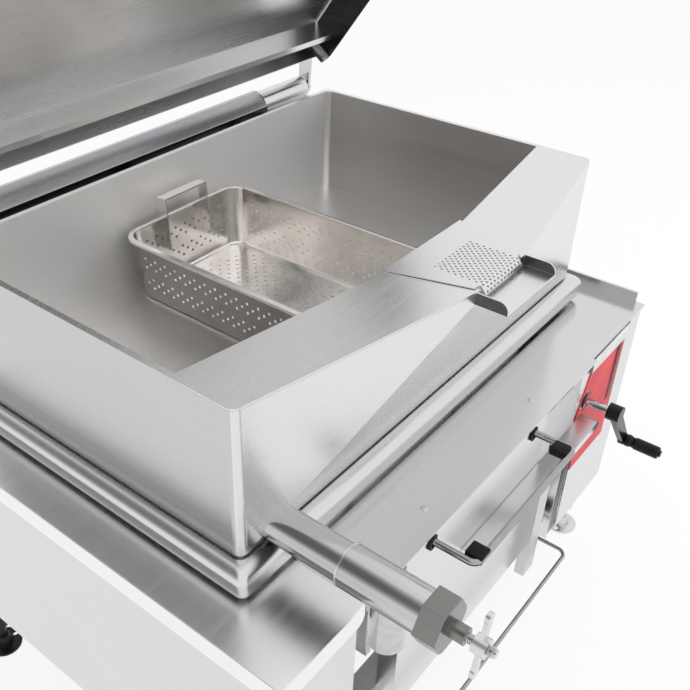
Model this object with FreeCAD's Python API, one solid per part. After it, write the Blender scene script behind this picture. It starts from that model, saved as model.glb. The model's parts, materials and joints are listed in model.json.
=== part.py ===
import FreeCAD, Part
import math
import os

# Tilting skillet with a draw-off valve, hinged lid, perforated basket and hand crank.
# The model is built with x = 0 on the centre plane, y = 0 on the pan's front wall and
# z = 0 on the floor. It is written out with the feet's centre as its origin.

V = FreeCAD.Vector

# Pan
RIM_Z = 940.0
PAN_W = 1000.0
PAN_D = 637.0
PAN_WALL = 10.0
PAN_WALL_H = 250.0
PAN_INNER_DEPTH = 229.0
PAN_FLOOR = 12.0
PAN_OUTER_R = 15.0
PAN_INNER_R = 20.0
RIM_EDGE_R = 3.0

# Pouring front: the wall bulges forward to a spout in the middle
SPOUT_HALF = 73.0
SPOUT_REACH = 80.0
SPOUT_DROP = 20.0
LIP_REACH = 133.0
CHEEK_R = 15.0
FLANGE_T = 3.0
FLANGE_END = 111.0
FLANGE_MID = 53.0
FLANGE_MID_HALF = 105.0
SHEET = 3.0
STRAINER_T = 2.0
STRAINER_OVER = 4.0
STRAINER_BEND_R = 16.0
STRAINER_HOLE_R = 3.0
STRAINER_PITCH = 13.0
STRAINER_ROWS = 7
STRAINER_COLUMNS = 8
STRAINER_FIRST_Y = 14.0

# Skirt under the pan, with the heating inside
SKIRT_OUT = 25.0
SKIRT_H = 45.0
BEAD_H = 22.0
BAND_OUT = 19.0
SKIRT_NECK = 4.0
SKIRT_NECK_IN = 6.0
SKIRT_R = 13.0
SKIRT_ROUND = 10.9
SKIRT_INSET = 20.0
COVER_T = 3.0
INSULATION_T = 39.7
ELEMENT_R = 5.0
ELEMENT_BEND_R = 45.0
ELEMENT_COUNT = 3
ELEMENT_PITCH = 185.0
ELEMENT_FIRST_Y = 90.0
ELEMENT_END = 425.0
CLAMP_T = 6.0
CLAMP_W = 24.0
PROBE_R = 4.0
PROBE_L = 120.0

# Fits between bodies
RUN = 0.05
REST_GAP = 0.3

# Tilting hinge: a curved arm on each side swings out through the opening under the pan
PIVOT_Y = -115.0
PIVOT_Z = 605.0
PIVOT_R = 12.0
PIVOT_HUB_R = 19.0
ARM_T = 12.0
ARM_IN_R = 118.0
ARM_OUT_R = 138.0
ARM_LEFT_X = -370.0
ARM_FROM_CRANK = 49.0
ARM_LOW_ANGLE = -96.0
ARM_TOP_ANGLE = 24.0
WEB_W = 24.0
PAD_L = 62.0
PAD_W = 60.0
PAD_T = 8.0
PIN_L = 52.0
BLOCK_T = 14.0
BLOCK_HALF = 19.0

# Tilting drive: crank, worm, worm wheel, pinion and the toothed right arm
MODULE = 4.0
PRESSURE_ANGLE = 25.0
PINION_TEETH = 10
ARM_TEETH = 71
WHEEL_TEETH = 20
WORM_STARTS = 2
MESH_ANGLE = -8.0
MESH_SLACK = 0.4
TOOTH_THIN = 0.35
TOOTH_ROOT = 5.0
PINION_TIP = 4.0
ARM_TIP = 3.4
WHEEL_TIP = 3.2
ARM_TEETH_BELOW = 17
ARM_TEETH_ABOVE = 2
FLANK_STEPS = 4
PINION_W = 18.0
WHEEL_W = 20.0
WORM_L = 60.0
DRIVE_SHAFT_R = 8.0
PLATE_T = 8.0
PLATE_HALF = 26.0
PLATE_GAP = 6.0
CRANK_IN = 242.0
CRANK_Z = 522.0
CRANK_SHAFT_R = 8.0
CRANK_HUB_R = 17.0
CRANK_HUB_FRONT = -213.0
CRANK_HUB_L = 26.0
CRANK_ARM = 165.0
CRANK_ARM_ANGLE = -51.5
CRANK_ARM_T = 12.0
GRIP_R = 13.0
GRIP_L = 74.0
GRIP_PIN_R = 5.0

# Deck, panels and frame
DECK_Z = 630.0
DECK_T = 3.0
PANEL = 2.0
BODY_HALF = 588.0
BODY_BEHIND = 55.0
BODY_BOTTOM = 218.0
APRON_FRONT = -148.0
LEFT_DECK_FRONT = -145.0
CONSOLE_FRONT = -138.0
CONSOLE_SIDE_FRONT = -121.0
LEFT_CAB_FRONT = -134.0
LEFT_CAB_W = 176.0
CONSOLE_W = 288.0
OPENING_HALF = 480.0
OPENING_FRONT = -5.0
OPENING_IN = 37.0
DECK_FLANGE_H = 36.0
FRONT_PANEL_LEFT = -310.0
FRONT_PANEL_RIGHT = 140.0
FRONT_PANEL_Y = -143.0
FRONT_PANEL_BOTTOM = 264.0
PANEL_RETURN = 32.0
UPSTAND_H = 23.0
UPSTAND_T = 6.0
POST = 40.0
POST_IN = 48.0
FEET_FRONT_Y = -90.0
FEET_IN = 24.0
RAIL_H = 40.0
RAIL_Z = 264.0

# Feet
FOOT_TOP = 125.0
FOOT_R = 22.0
FOOT_PAD_R = 36.0
FOOT_PAD_T = 6.0
FOOT_CONE_R = 18.0
FOOT_HOLE_R = 5.5
FOOT_HOLE_OFFSET = 27.0
FOOT_STEM_R = 9.0

# Draw-off valve on the pan's left front corner
VALVE_X = -438.0
VALVE_Z = 720.0
VALVE_R = 28.0
VALVE_BORE_R = 17.0
VALVE_CHAMBER_R = 23.0
SEAT_Y = -172.0
SEAT_T = 6.0
DISC_R = 20.0
DISC_T = 8.0
PLUG_HUB_R = 10.0
PLUG_HUB_L = 16.0
THREAD_LEAD = 6.0
VALVE_SLEEVE_R = 31.0
SLEEVE_START = 131.0
BONNET_START = 252.0
BONNET_L = 32.0
BONNET_FLATS = 68.0
OUTLET_Y = -197.0
OUTLET_R = 25.0
OUTLET_BORE_R = 20.0
OUTLET_LOW = 626.0
OUTLET_SOCKET_L = 50.0
OUTLET_THROAT_R = 16.0
GLAND_R = 12.0
GLAND_L = 22.0
STEM_R = 6.0
STEM_END = 345.0
HANDLE_AT = 325.0
HANDLE_T = 10.0
HANDLE_HUB_R = 13.0
HANDLE_REACH = 42.0
HANDLE_TILT = 12.0

# Lid and its counterbalance
HINGE_BEHIND = 48.0
LID_OPEN = 53.5
LID_HALF = 512.0
LID_FRONT = 40.0
LID_REAR_IN = 21.0
LID_NOTCH = 18.0
LID_CLEAR = 3.0
LID_H = 76.0
LID_SHEET = 2.0
LID_CORNER_R = 22.0
TORSION_R = 10.0
TUBE_R = 30.0
TUBE_EDGE = 4.0
BRACKET_W = 50.0
BRACKET_H = 22.0
TUBE_LEFT = -440.0
TUBE_RIGHT = 317.0
TUBE_WALL = 4.0
TUBE_BUSH = 16.0
BEARING_RIGHT = 462.0
BEARING_LEFT = -462.0
LINK_X = 480.0
LINK_T = 8.0
LINK_W = 22.0
LID_HANDLE_R = 10.0
LID_HANDLE_STAND = 45.0
LID_HANDLE_HALF = 330.0
LID_POST_IN = 30.0
STRIP_TOP_IN = 46.0
STRIP_LOW_IN = 64.0
STRIP_LOW_H = 22.0
GUTTER_W = 16.0
GUTTER_LIP = 7.0

# Basket
BASKET_HALF = 159.0
BASKET_GAP = 25.0
BASKET_L = 520.0
BASKET_TOP = 837.0
BASKET_RIM_W = 9.0
BASKET_TAPER = 9.0
BASKET_T = 1.5
BASKET_R = 38.0
BASKET_HANDLE_X = -6.0
BASKET_HANDLE_HALF = 55.0
BASKET_HANDLE_TOP = 880.0
BASKET_HANDLE_W = 22.0
BASKET_HANDLE_T = 3.0
BASKET_HANDLE_LEG = 62.0

# Front ledge and the slide-out carriers for a receiving pan
LEDGE_Z = 508.0
LEDGE_LEFT = -135.0
LEDGE_RIGHT = 320.0
LEDGE_END_W = 102.0
LEDGE_END_RISE = 4.0
LEDGE_END_H = 30.0
LEDGE_FRONT = -182.0
LEDGE_LIP = 14.0
ROD_R = 6.0
ROD_LEFT_X = -243.0
ROD_RIGHT_X = 81.0
ROD_Z = 615.3
ROD_FRONT = -220.0
ROD_BACK = 430.0
ROD_BEND_R = 12.0
BUMPER = 30.0
BUMPER_T = 3.0
GROMMET_R = 13.0
GROMMET_T = 4.0
GUIDE_Y = 100.0
GUIDE_W = 30.0
GUIDE_HALF = 14.0
GUIDE_H = 26.0
WIRE_R = 4.0
WIRE_HALF = 265.0
WIRE_Z = 200.0
WIRE_FRONT = -197.0
WIRE_BACK = 600.0
WIRE_BEND_R = 18.0
HANGER_HALF = 10.0
KNOB_R = 17.0
KNOB_H = 16.0
KNOB_STEM_R = 4.0
CHANNEL_X = 148.0
CHANNEL_HALF = 20.0
CHANNEL_D = 20.0
CHANNEL_LOW = 225.0
CHANNEL_TOP = 490.0

# Travel of the moving parts
TILT_RANGE = 80.0
LID_FURTHER = 6.5
STRAINER_LIFT = 120.0
BASKET_LIFT = 180.0
ROD_TRAVEL = 300.0
WIRE_TRAVEL = 300.0
VALVE_TURNS = 3.0

# Console face
RED_LEFT_IN = 245.0
RED_RIGHT_IN = 82.0
RED_LOW = 340.0
RED_FOOT_OUT = 34.0
RED_FOOT_TOP = 499.0
RED_FOOT_LOW = 478.0
RED_TOP = 591.0
PLATE_RIGHT_IN = 71.0
PLATE_TOP = 626.0
FACE_T = 1.5
NOTCH_HALF = 22.0
FRONT_SLOT_W = 44.0
FRONT_SLOT_TOP = 384.0
CONSOLE_DROP = 45.0
SHELF_Z = 431.0
SCREW_HEAD_R = 6.0
SCREW_HEAD_H = 3.0
SCREW_Y = -108.0
SCREW_LEFT_X = -208.0
SCREW_RIGHT_X = 140.0
CONTROL_IN = 88.0
CONTROL_W = 130.0
CONTROL_FRONT = 280.0
CONTROL_BACK = 560.0
CONTROL_H = 140.0
GLAND_IN = 108.0
GLAND_Z = 320.0
CORD_GLAND_R = 14.0
CORD_BORE_R = 8.0

# Values worked out from the sizes above
BODY_REAR = PAN_D + BODY_BEHIND
OPENING_REAR = PAN_D - OPENING_IN
LID_HINGE_Y = PAN_D + HINGE_BEHIND
LID_HINGE_Z = RIM_Z
LID_LOW = RIM_Z + LID_CLEAR
LID_REAR = PAN_D - LID_REAR_IN
BASKET_BACK = PAN_D - BASKET_GAP
POST_X = BODY_HALF - POST_IN
LEFT_CAB_IN = -BODY_HALF + LEFT_CAB_W
CONSOLE_IN = BODY_HALF - CONSOLE_W
CONSOLE_LOW = BODY_BOTTOM - CONSOLE_DROP
CRANK_X = BODY_HALF - CRANK_IN
ARM_RIGHT_X = CRANK_X + ARM_FROM_CRANK
RED_LEFT = BODY_HALF - RED_LEFT_IN
RED_RIGHT = BODY_HALF - RED_RIGHT_IN
PLATE_RIGHT = BODY_HALF - PLATE_RIGHT_IN
CONTROL_RIGHT = BODY_HALF - CONTROL_IN
CONTROL_LEFT = CONTROL_RIGHT - CONTROL_W
GLAND_X = BODY_HALF - GLAND_IN
FEET_REAR_Y = BODY_REAR - FEET_IN
FEET_MID_Y = (FEET_FRONT_Y + FEET_REAR_Y) / 2
PAN_HALF = PAN_W / 2
WALL_LOW = RIM_Z - PAN_WALL_H
FLOOR_TOP = RIM_Z - PAN_INNER_DEPTH
FLOOR_LOW = FLOOR_TOP - PAN_FLOOR
SKIRT_TOP = WALL_LOW - SKIRT_NECK
SKIRT_LOW = SKIRT_TOP - SKIRT_H
COVER_LOW = SKIRT_LOW - COVER_T
DECK_LOW = DECK_Z - DECK_T
ARM_PITCH_R = MODULE * ARM_TEETH / 2
PINION_PITCH_R = MODULE * PINION_TEETH / 2
WHEEL_PITCH_R = MODULE * WHEEL_TEETH / 2
MESH_R = ARM_PITCH_R + PINION_PITCH_R + MESH_SLACK
DRIVE_Y = PIVOT_Y + MESH_R * math.cos(math.radians(MESH_ANGLE))
DRIVE_Z = PIVOT_Z + MESH_R * math.sin(math.radians(MESH_ANGLE))
WORM_PITCH_R = DRIVE_Z - CRANK_Z - WHEEL_PITCH_R - MESH_SLACK
WORM_LEAD = math.pi * MODULE * WORM_STARTS


def box(x0, x1, y0, y1, z0, z1):
    return Part.makeBox(x1 - x0, y1 - y0, z1 - z0, V(x0, y0, z0))


def rod_x(x0, x1, y, z, r):
    return Part.makeCylinder(r, x1 - x0, V(x0, y, z), V(1, 0, 0))


def rod_y(x, y0, y1, z, r):
    return Part.makeCylinder(r, y1 - y0, V(x, y0, z), V(0, 1, 0))


def rod_z(x, y, z0, z1, r):
    return Part.makeCylinder(r, z1 - z0, V(x, y, z0), V(0, 0, 1))


def join(shapes):
    whole = shapes[0]
    if len(shapes) > 1:
        whole = whole.multiFuse(shapes[1:])
    return whole.removeSplitter()


def group(shapes):
    return Part.makeCompound(shapes)


def slab_z(points, z0, z1):
    wire = Part.makePolygon([V(x, y, z0) for x, y in points + points[:1]])
    return Part.Face(wire).extrude(V(0, 0, z1 - z0))


def slab_x(points, x0, x1):
    wire = Part.makePolygon([V(x0, y, z) for y, z in points + points[:1]])
    return Part.Face(wire).extrude(V(x1 - x0, 0, 0))


def edges_along(shape, axis):
    found = []
    for edge in shape.Edges:
        a = edge.Vertexes[0].Point
        b = edge.Vertexes[-1].Point
        run = b.sub(a)
        if run.Length > 1e-6 and abs(abs(run.dot(axis)) - run.Length) < 1e-6:
            found.append(edge)
    return found


def round_box(x0, x1, y0, y1, z0, z1, r):
    solid = box(x0, x1, y0, y1, z0, z1)
    return solid.makeFillet(r, edges_along(solid, V(0, 0, 1)))


def edges_at_z(shape, z):
    found = []
    for edge in shape.Edges:
        bounds = edge.BoundBox
        if abs(bounds.ZMin - z) < 1e-4 and abs(bounds.ZMax - z) < 1e-4:
            found.append(edge)
    return found


def turned(shape, y, z, degrees):
    copy = shape.copy()
    copy.rotate(V(0, y, z), V(1, 0, 0), degrees)
    return copy


def solid_from(points, faces):
    skins = []
    for face in faces:
        loop = [points[i] for i in face]
        skins.append(Part.Face(Part.makePolygon(loop + loop[:1])))
    return Part.Solid(Part.Shell(skins))


def bulge(back_y, half, reach_y, top):
    # Solid between the plane y = back_y and the three facets of the pouring front.
    drop = RIM_Z - SPOUT_DROP
    points = [V(-half, back_y, WALL_LOW), V(half, back_y, WALL_LOW)]
    points += [V(SPOUT_HALF, reach_y, drop), V(-SPOUT_HALF, reach_y, drop)]
    points += [V(-half, back_y, top), V(half, back_y, top)]
    points += [V(SPOUT_HALF, reach_y, top), V(-SPOUT_HALF, reach_y, top)]
    faces = [(0, 1, 5, 4), (4, 5, 6, 7), (3, 2, 6, 7), (0, 3, 7, 4), (1, 2, 6, 5), (0, 1, 2, 3)]
    return solid_from(points, faces)


def pan_shell():
    outer = round_box(-PAN_HALF, PAN_HALF, 0, PAN_D, WALL_LOW, RIM_Z, PAN_OUTER_R)
    front = bulge(0, PAN_HALF - PAN_OUTER_R, -SPOUT_REACH, RIM_Z)
    inner_half = PAN_HALF - PAN_WALL
    inner_back = PAN_D - PAN_WALL
    hollow = round_box(-inner_half, inner_half, PAN_WALL, inner_back, FLOOR_TOP, RIM_Z + 1, PAN_INNER_R)
    low_edges = []
    for edge in edges_at_z(hollow, FLOOR_TOP):
        if edge.BoundBox.YMax > PAN_WALL + PAN_INNER_R + 1:
            low_edges.append(edge)
    front_half = inner_half - PAN_INNER_R
    front_hollow = bulge(PAN_WALL, front_half, PAN_WALL - SPOUT_REACH, RIM_Z + 1)
    front_hollow = front_hollow.common(box(-PAN_W, PAN_W, -PAN_D, PAN_D, FLOOR_TOP, RIM_Z + 2))
    shell = join([outer, front]).cut(hollow).cut(front_hollow)
    spout = box(-SPOUT_HALF, SPOUT_HALF, -LIP_REACH, -SPOUT_REACH + PAN_WALL + 1,
                RIM_Z - SPOUT_DROP, RIM_Z + 1)
    below = box(-PAN_HALF + SKIRT_INSET, PAN_HALF - SKIRT_INSET, SKIRT_INSET, PAN_D - SKIRT_INSET,
                WALL_LOW - 1, FLOOR_LOW)
    socket = rod_y(VALVE_X, -SPOUT_REACH, PAN_WALL, VALVE_Z, VALVE_R)
    trough = rod_y(VALVE_X, 0, PAN_WALL + VALVE_R, VALVE_Z, VALVE_BORE_R)
    shell = shell.cut(spout).cut(below).cut(socket).cut(trough).cut(pour_lip())
    return shell.removeSplitter()


def pour_lip():
    # Flat front flange with the strainer's opening, and the spout with its two cheeks.
    half = PAN_HALF
    start = PAN_HALF - PAN_OUTER_R
    inner = PAN_HALF - PAN_WALL
    outline = [(-half, 0), (-start, 0), (-SPOUT_HALF, -SPOUT_REACH), (SPOUT_HALF, -SPOUT_REACH)]
    outline += [(start, 0), (half, 0), (half, FLANGE_END), (inner, FLANGE_END)]
    outline += [(FLANGE_MID_HALF, FLANGE_MID), (-FLANGE_MID_HALF, FLANGE_MID)]
    outline += [(-inner, FLANGE_END), (-half, FLANGE_END)]
    plate = slab_z(outline, RIM_Z - FLANGE_T, RIM_Z)
    corners = []
    for edge in edges_along(plate, V(0, 0, 1)):
        spot = edge.Vertexes[0].Point
        if abs(abs(spot.x) - half) < 1e-6 and abs(spot.y) < 1e-6:
            corners.append(edge)
    plate = plate.makeFillet(PAN_OUTER_R - 0.01, corners)
    back_half = FLANGE_MID_HALF - 14
    front_half = SPOUT_HALF - 11
    gap = slab_z([(-back_half, FLANGE_MID + 1), (back_half, FLANGE_MID + 1),
                  (front_half, -SPOUT_REACH - 1), (-front_half, -SPOUT_REACH - 1)],
                 RIM_Z - FLANGE_T - 1, RIM_Z + 1)
    plate = plate.cut(gap)
    low = RIM_Z - SPOUT_DROP
    floor = box(-SPOUT_HALF - SHEET, SPOUT_HALF + SHEET, -LIP_REACH, -SPOUT_REACH + PAN_WALL,
                low, low + SHEET)
    side = box(SPOUT_HALF, SPOUT_HALF + SHEET, -LIP_REACH, -SPOUT_REACH + 6, low, RIM_Z)
    tops = []
    for edge in edges_along(side, V(1, 0, 0)):
        spot = edge.Vertexes[0].Point
        if abs(spot.y + LIP_REACH) < 1e-6 and abs(spot.z - RIM_Z) < 1e-6:
            tops.append(edge)
    right = side.makeFillet(CHEEK_R, tops)
    left = right.mirror(V(0, 0, 0), V(1, 0, 0))
    return join([plate, floor, right, left])


def strainer():
    # Perforated plate over the spout, with its front rolled down into the spout.
    top = RIM_Z + REST_GAP + STRAINER_T
    low = top - STRAINER_T
    back_half = FLANGE_MID_HALF + STRAINER_OVER
    front_half = SPOUT_HALF - 3
    front = -SPOUT_REACH + 6
    plate = slab_z([(-back_half, FLANGE_MID + STRAINER_OVER), (back_half, FLANGE_MID + STRAINER_OVER),
                    (front_half, front), (-front_half, front)], low, top)
    nose_half = SPOUT_HALF - 16
    nose = rod_x(-nose_half, nose_half, front, top - STRAINER_BEND_R, STRAINER_BEND_R)
    nose = nose.cut(rod_x(-PAN_HALF, PAN_HALF, front, top - STRAINER_BEND_R, STRAINER_BEND_R - STRAINER_T))
    keep = box(-nose_half, nose_half, front - STRAINER_BEND_R, front, top - STRAINER_BEND_R, top)
    whole = join([plate, nose.common(keep)])
    holes = []
    for row in range(STRAINER_ROWS):
        y = STRAINER_FIRST_Y - row * STRAINER_PITCH * math.sqrt(3) / 2
        count = STRAINER_COLUMNS - row % 2
        for column in range(count):
            x = (column - (count - 1) / 2) * STRAINER_PITCH
            holes.append(rod_z(x, y, low - 1, top + 1, STRAINER_HOLE_R))
    return whole.cut(group(holes))


def skirt():
    # Half-round bead with a flat band below it, and a narrow neck up to the pan's walls.
    wide = PAN_HALF + SKIRT_OUT
    bead_low = SKIRT_TOP - BEAD_H
    bead = round_box(-wide, wide, -SKIRT_OUT, PAN_D + SKIRT_OUT, bead_low, SKIRT_TOP, SKIRT_R)
    bead = bead.makeFillet(SKIRT_ROUND, edges_at_z(bead, bead_low) + edges_at_z(bead, SKIRT_TOP))
    half = PAN_HALF + BAND_OUT
    band = round_box(-half, half, -BAND_OUT, PAN_D + BAND_OUT, SKIRT_LOW, SKIRT_TOP - BEAD_H / 2,
                     SKIRT_R)
    neck_half = PAN_HALF - SKIRT_NECK_IN
    neck = round_box(-neck_half, neck_half, SKIRT_NECK_IN, PAN_D - SKIRT_NECK_IN, SKIRT_TOP, WALL_LOW,
                     PAN_OUTER_R)
    hollow = box(-PAN_HALF + SKIRT_INSET, PAN_HALF - SKIRT_INSET, SKIRT_INSET, PAN_D - SKIRT_INSET,
                 SKIRT_LOW - 1, WALL_LOW + 1)
    return join([bead, band, neck]).cut(hollow)


def base_cover():
    return round_box(-PAN_HALF, PAN_HALF, 0, PAN_D, COVER_LOW, SKIRT_LOW, PAN_OUTER_R)


def insulation():
    inset = SKIRT_INSET + 2
    return box(-PAN_HALF + inset, PAN_HALF - inset, inset, PAN_D - inset, SKIRT_LOW,
               SKIRT_LOW + INSULATION_T)


def element_y(index):
    return ELEMENT_FIRST_Y + index * ELEMENT_PITCH


def heating_elements():
    # Hairpin elements lie against the underside of the pan floor.
    z = FLOOR_LOW - ELEMENT_R
    parts = []
    for index in range(ELEMENT_COUNT):
        y = element_y(index)
        far = y + 2 * ELEMENT_BEND_R
        start = rod_x(-ELEMENT_END, ELEMENT_END, y, z, ELEMENT_R)
        back = rod_x(-ELEMENT_END, ELEMENT_END, far, z, ELEMENT_R)
        bend = Part.makeTorus(ELEMENT_BEND_R, ELEMENT_R, V(-ELEMENT_END, y + ELEMENT_BEND_R, z))
        keep = box(-PAN_HALF, -ELEMENT_END, y - ELEMENT_R * 2, far + ELEMENT_R * 2,
                   z - ELEMENT_R * 2, z + ELEMENT_R * 2)
        parts.append(join([start, back, bend.common(keep)]))
    return group(parts)


def element_clamps():
    top = FLOOR_LOW - 2 * ELEMENT_R
    low = SKIRT_LOW + INSULATION_T
    spacing = ELEMENT_END * 2 / 3
    bars = []
    for step in (-1, 0, 1):
        x = step * spacing
        bars.append(box(x - CLAMP_W / 2, x + CLAMP_W / 2, 2 * SKIRT_INSET, PAN_D - 2 * SKIRT_INSET,
                        low, top))
    return group(bars)


def ring_sector(x_mid, width, inner, outer, low_angle, top_angle):
    # Part of a flat ring round the tilting axis, between two angles above the +y direction.
    ring = rod_x(x_mid - width / 2, x_mid + width / 2, PIVOT_Y, PIVOT_Z, outer)
    ring = ring.cut(rod_x(x_mid - width, x_mid + width, PIVOT_Y, PIVOT_Z, inner))
    far = outer * 3
    points = [(PIVOT_Y, PIVOT_Z)]
    steps = 6
    for index in range(steps + 1):
        angle = math.radians(low_angle + (top_angle - low_angle) * index / steps)
        points.append((PIVOT_Y + far * math.cos(angle), PIVOT_Z + far * math.sin(angle)))
    wedge = slab_x(points, x_mid - width / 2, x_mid + width / 2)
    return ring.common(wedge)


def flank_angle(pitch_r, radius):
    # Half the angle that a tooth takes up at this radius, on an involute flank.
    pressure = math.radians(PRESSURE_ANGLE)
    base = pitch_r * math.cos(pressure)
    half = (math.pi * MODULE / 4 - TOOTH_THIN) / pitch_r + math.tan(pressure) - pressure
    if radius <= base:
        return half
    local = math.acos(base / radius)
    return half - math.tan(local) + local


def tooth_outline(x, y, z, pitch_r, root_r, tip_r, angle):
    # Closed outline of one tooth in the plane at x, pointing at the given angle in radians.
    radii = []
    for index in range(FLANK_STEPS + 1):
        radii.append(root_r + (tip_r - root_r) * index / FLANK_STEPS)
    low = [(radius, -flank_angle(pitch_r, radius)) for radius in radii]
    high = [(radius, flank_angle(pitch_r, radius)) for radius in reversed(radii)]
    corners = [(root_r - MODULE / 2, low[0][1])] + low + high + [(root_r - MODULE / 2, high[-1][1])]
    points = []
    for radius, turn in corners:
        points.append(V(x, y + radius * math.cos(angle + turn), z + radius * math.sin(angle + turn)))
    return Part.makePolygon(points + points[:1])


def straight_teeth(x_mid, width, y, z, pitch_r, tip_r, angles):
    teeth = []
    for angle in angles:
        outline = tooth_outline(x_mid - width / 2, y, z, pitch_r, pitch_r - TOOTH_ROOT, tip_r, angle)
        teeth.append(Part.Face(outline).extrude(V(width, 0, 0)))
    return teeth


def hinge_arm(x_mid):
    # Curved arm: a web drops from the pivot, then the arc rises to a pad under the pan.
    arc = ring_sector(x_mid, ARM_T, ARM_IN_R, ARM_OUT_R, ARM_LOW_ANGLE, ARM_TOP_ANGLE)
    limit = box(x_mid - ARM_T, x_mid + ARM_T, PIVOT_Y - PAN_D, PAN_D, 0, COVER_LOW)
    arc = arc.common(limit)
    hub = rod_x(x_mid - ARM_T / 2, x_mid + ARM_T / 2, PIVOT_Y, PIVOT_Z, PIVOT_HUB_R)
    web = box(x_mid - ARM_T / 2, x_mid + ARM_T / 2, PIVOT_Y - WEB_W / 2, PIVOT_Y + WEB_W / 2,
              PIVOT_Z - ARM_IN_R - 4, PIVOT_Z)
    web = turned(web, PIVOT_Y, PIVOT_Z, 90 + ARM_LOW_ANGLE + 6)
    pad = box(x_mid - PAD_W / 2, x_mid + PAD_W / 2, 0, PAD_L, COVER_LOW - PAD_T, COVER_LOW)
    arm = join([arc, hub, web, pad])
    return arm.cut(rod_x(x_mid - ARM_T, x_mid + ARM_T, PIVOT_Y, PIVOT_Z, PIVOT_R))


def tilt_quadrant():
    # The right arm, with teeth on the part of its arc that passes the pinion.
    arm = hinge_arm(ARM_RIGHT_X)
    root_r = ARM_PITCH_R - TOOTH_ROOT
    step = 2 * math.pi / ARM_TEETH
    angles = []
    for index in range(-ARM_TEETH_BELOW, ARM_TEETH_ABOVE + 1):
        angles.append(math.radians(MESH_ANGLE) + index * step)
    low = math.degrees(angles[0] - step / 2)
    top = math.degrees(angles[-1] + step / 2)
    smooth = ring_sector(ARM_RIGHT_X, ARM_T + 2, root_r, ARM_OUT_R + 1, low, top)
    teeth = straight_teeth(ARM_RIGHT_X, ARM_T, PIVOT_Y, PIVOT_Z, ARM_PITCH_R, ARM_PITCH_R + ARM_TIP, angles)
    return join([arm.cut(smooth)] + teeth)


def pivot_pins():
    pins = []
    for x in (ARM_LEFT_X, ARM_RIGHT_X):
        pins.append(rod_x(x - PIN_L / 2, x + PIN_L / 2, PIVOT_Y, PIVOT_Z, PIVOT_R))
    return group(pins)


def pivot_blocks():
    # Two bearing blocks beside each arm hang from the underside of the deck.
    blocks = []
    gap = ARM_T / 2 + 2
    for x in (ARM_LEFT_X, ARM_RIGHT_X):
        for low in (x - gap - BLOCK_T, x + gap):
            block = box(low, low + BLOCK_T, PIVOT_Y - BLOCK_HALF, PIVOT_Y + BLOCK_HALF,
                        PIVOT_Z - BLOCK_HALF, DECK_LOW)
            blocks.append(block.cut(rod_x(low - 1, low + BLOCK_T + 1, PIVOT_Y, PIVOT_Z, PIVOT_R + RUN)))
    return group(blocks)


def pinion_shaft():
    low = CRANK_X - WORM_PITCH_R - WHEEL_TIP - PLATE_GAP - PLATE_T - 2
    high = ARM_RIGHT_X + PINION_W / 2 + 16
    shaft = rod_x(low, high, DRIVE_Y, DRIVE_Z, DRIVE_SHAFT_R)
    x = ARM_RIGHT_X
    core = rod_x(x - PINION_W / 2, x + PINION_W / 2, DRIVE_Y, DRIVE_Z, PINION_PITCH_R - TOOTH_ROOT)
    step = 2 * math.pi / PINION_TEETH
    # A gap between two teeth faces the pivot.
    first = math.pi + math.radians(MESH_ANGLE) + step / 2
    angles = [first + index * step for index in range(PINION_TEETH)]
    tip_r = PINION_PITCH_R + PINION_TIP
    teeth = straight_teeth(x, PINION_W, DRIVE_Y, DRIVE_Z, PINION_PITCH_R, tip_r, angles)
    return join([shaft, core] + teeth)


def worm_wheel():
    # Its teeth lean as the worm's thread does, and one of them points straight down.
    x = CRANK_X
    root_r = WHEEL_PITCH_R - TOOTH_ROOT
    tip_r = WHEEL_PITCH_R + WHEEL_TIP
    core = rod_x(x - WHEEL_W / 2, x + WHEEL_W / 2, DRIVE_Y, DRIVE_Z, root_r)
    slope = WORM_LEAD / (2 * math.pi * WORM_PITCH_R)
    lean = slope * WHEEL_W / 2 / WHEEL_PITCH_R
    teeth = []
    for index in range(WHEEL_TEETH):
        angle = -math.pi / 2 + index * 2 * math.pi / WHEEL_TEETH
        ends = []
        for side in (-1, 1):
            ends.append(tooth_outline(x + side * WHEEL_W / 2, DRIVE_Y, DRIVE_Z, WHEEL_PITCH_R, root_r,
                                      tip_r, angle + side * lean))
        teeth.append(Part.makeLoft(ends, True, True))
    wheel = core.multiFuse(teeth)
    return wheel.cut(rod_x(x - WHEEL_W, x + WHEEL_W, DRIVE_Y, DRIVE_Z, DRIVE_SHAFT_R))


def worm_thread(turn):
    # One start of the right-hand thread, as a ridge swept along its helix.
    root_r = WORM_PITCH_R - TOOTH_ROOT - 1
    tip_r = WORM_PITCH_R + WHEEL_TIP
    half = math.pi * MODULE / 4 - TOOTH_THIN
    slope = math.tan(math.radians(PRESSURE_ANGLE))
    wide = half + (WORM_PITCH_R - root_r) * slope
    slim = half - (tip_r - WORM_PITCH_R) * slope
    length = WORM_L + 2 * WORM_LEAD
    helix = Part.makeHelix(WORM_LEAD, length, WORM_PITCH_R)
    points = [V(root_r, 0, -wide), V(root_r, 0, wide), V(tip_r, 0, slim), V(tip_r, 0, -slim)]
    profile = Part.makePolygon(points + points[:1])
    ridge = Part.Wire(helix.Edges).makePipeShell([profile], True, True)
    ridge.rotate(V(0, 0, 0), V(0, 0, 1), turn)
    return ridge


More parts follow.
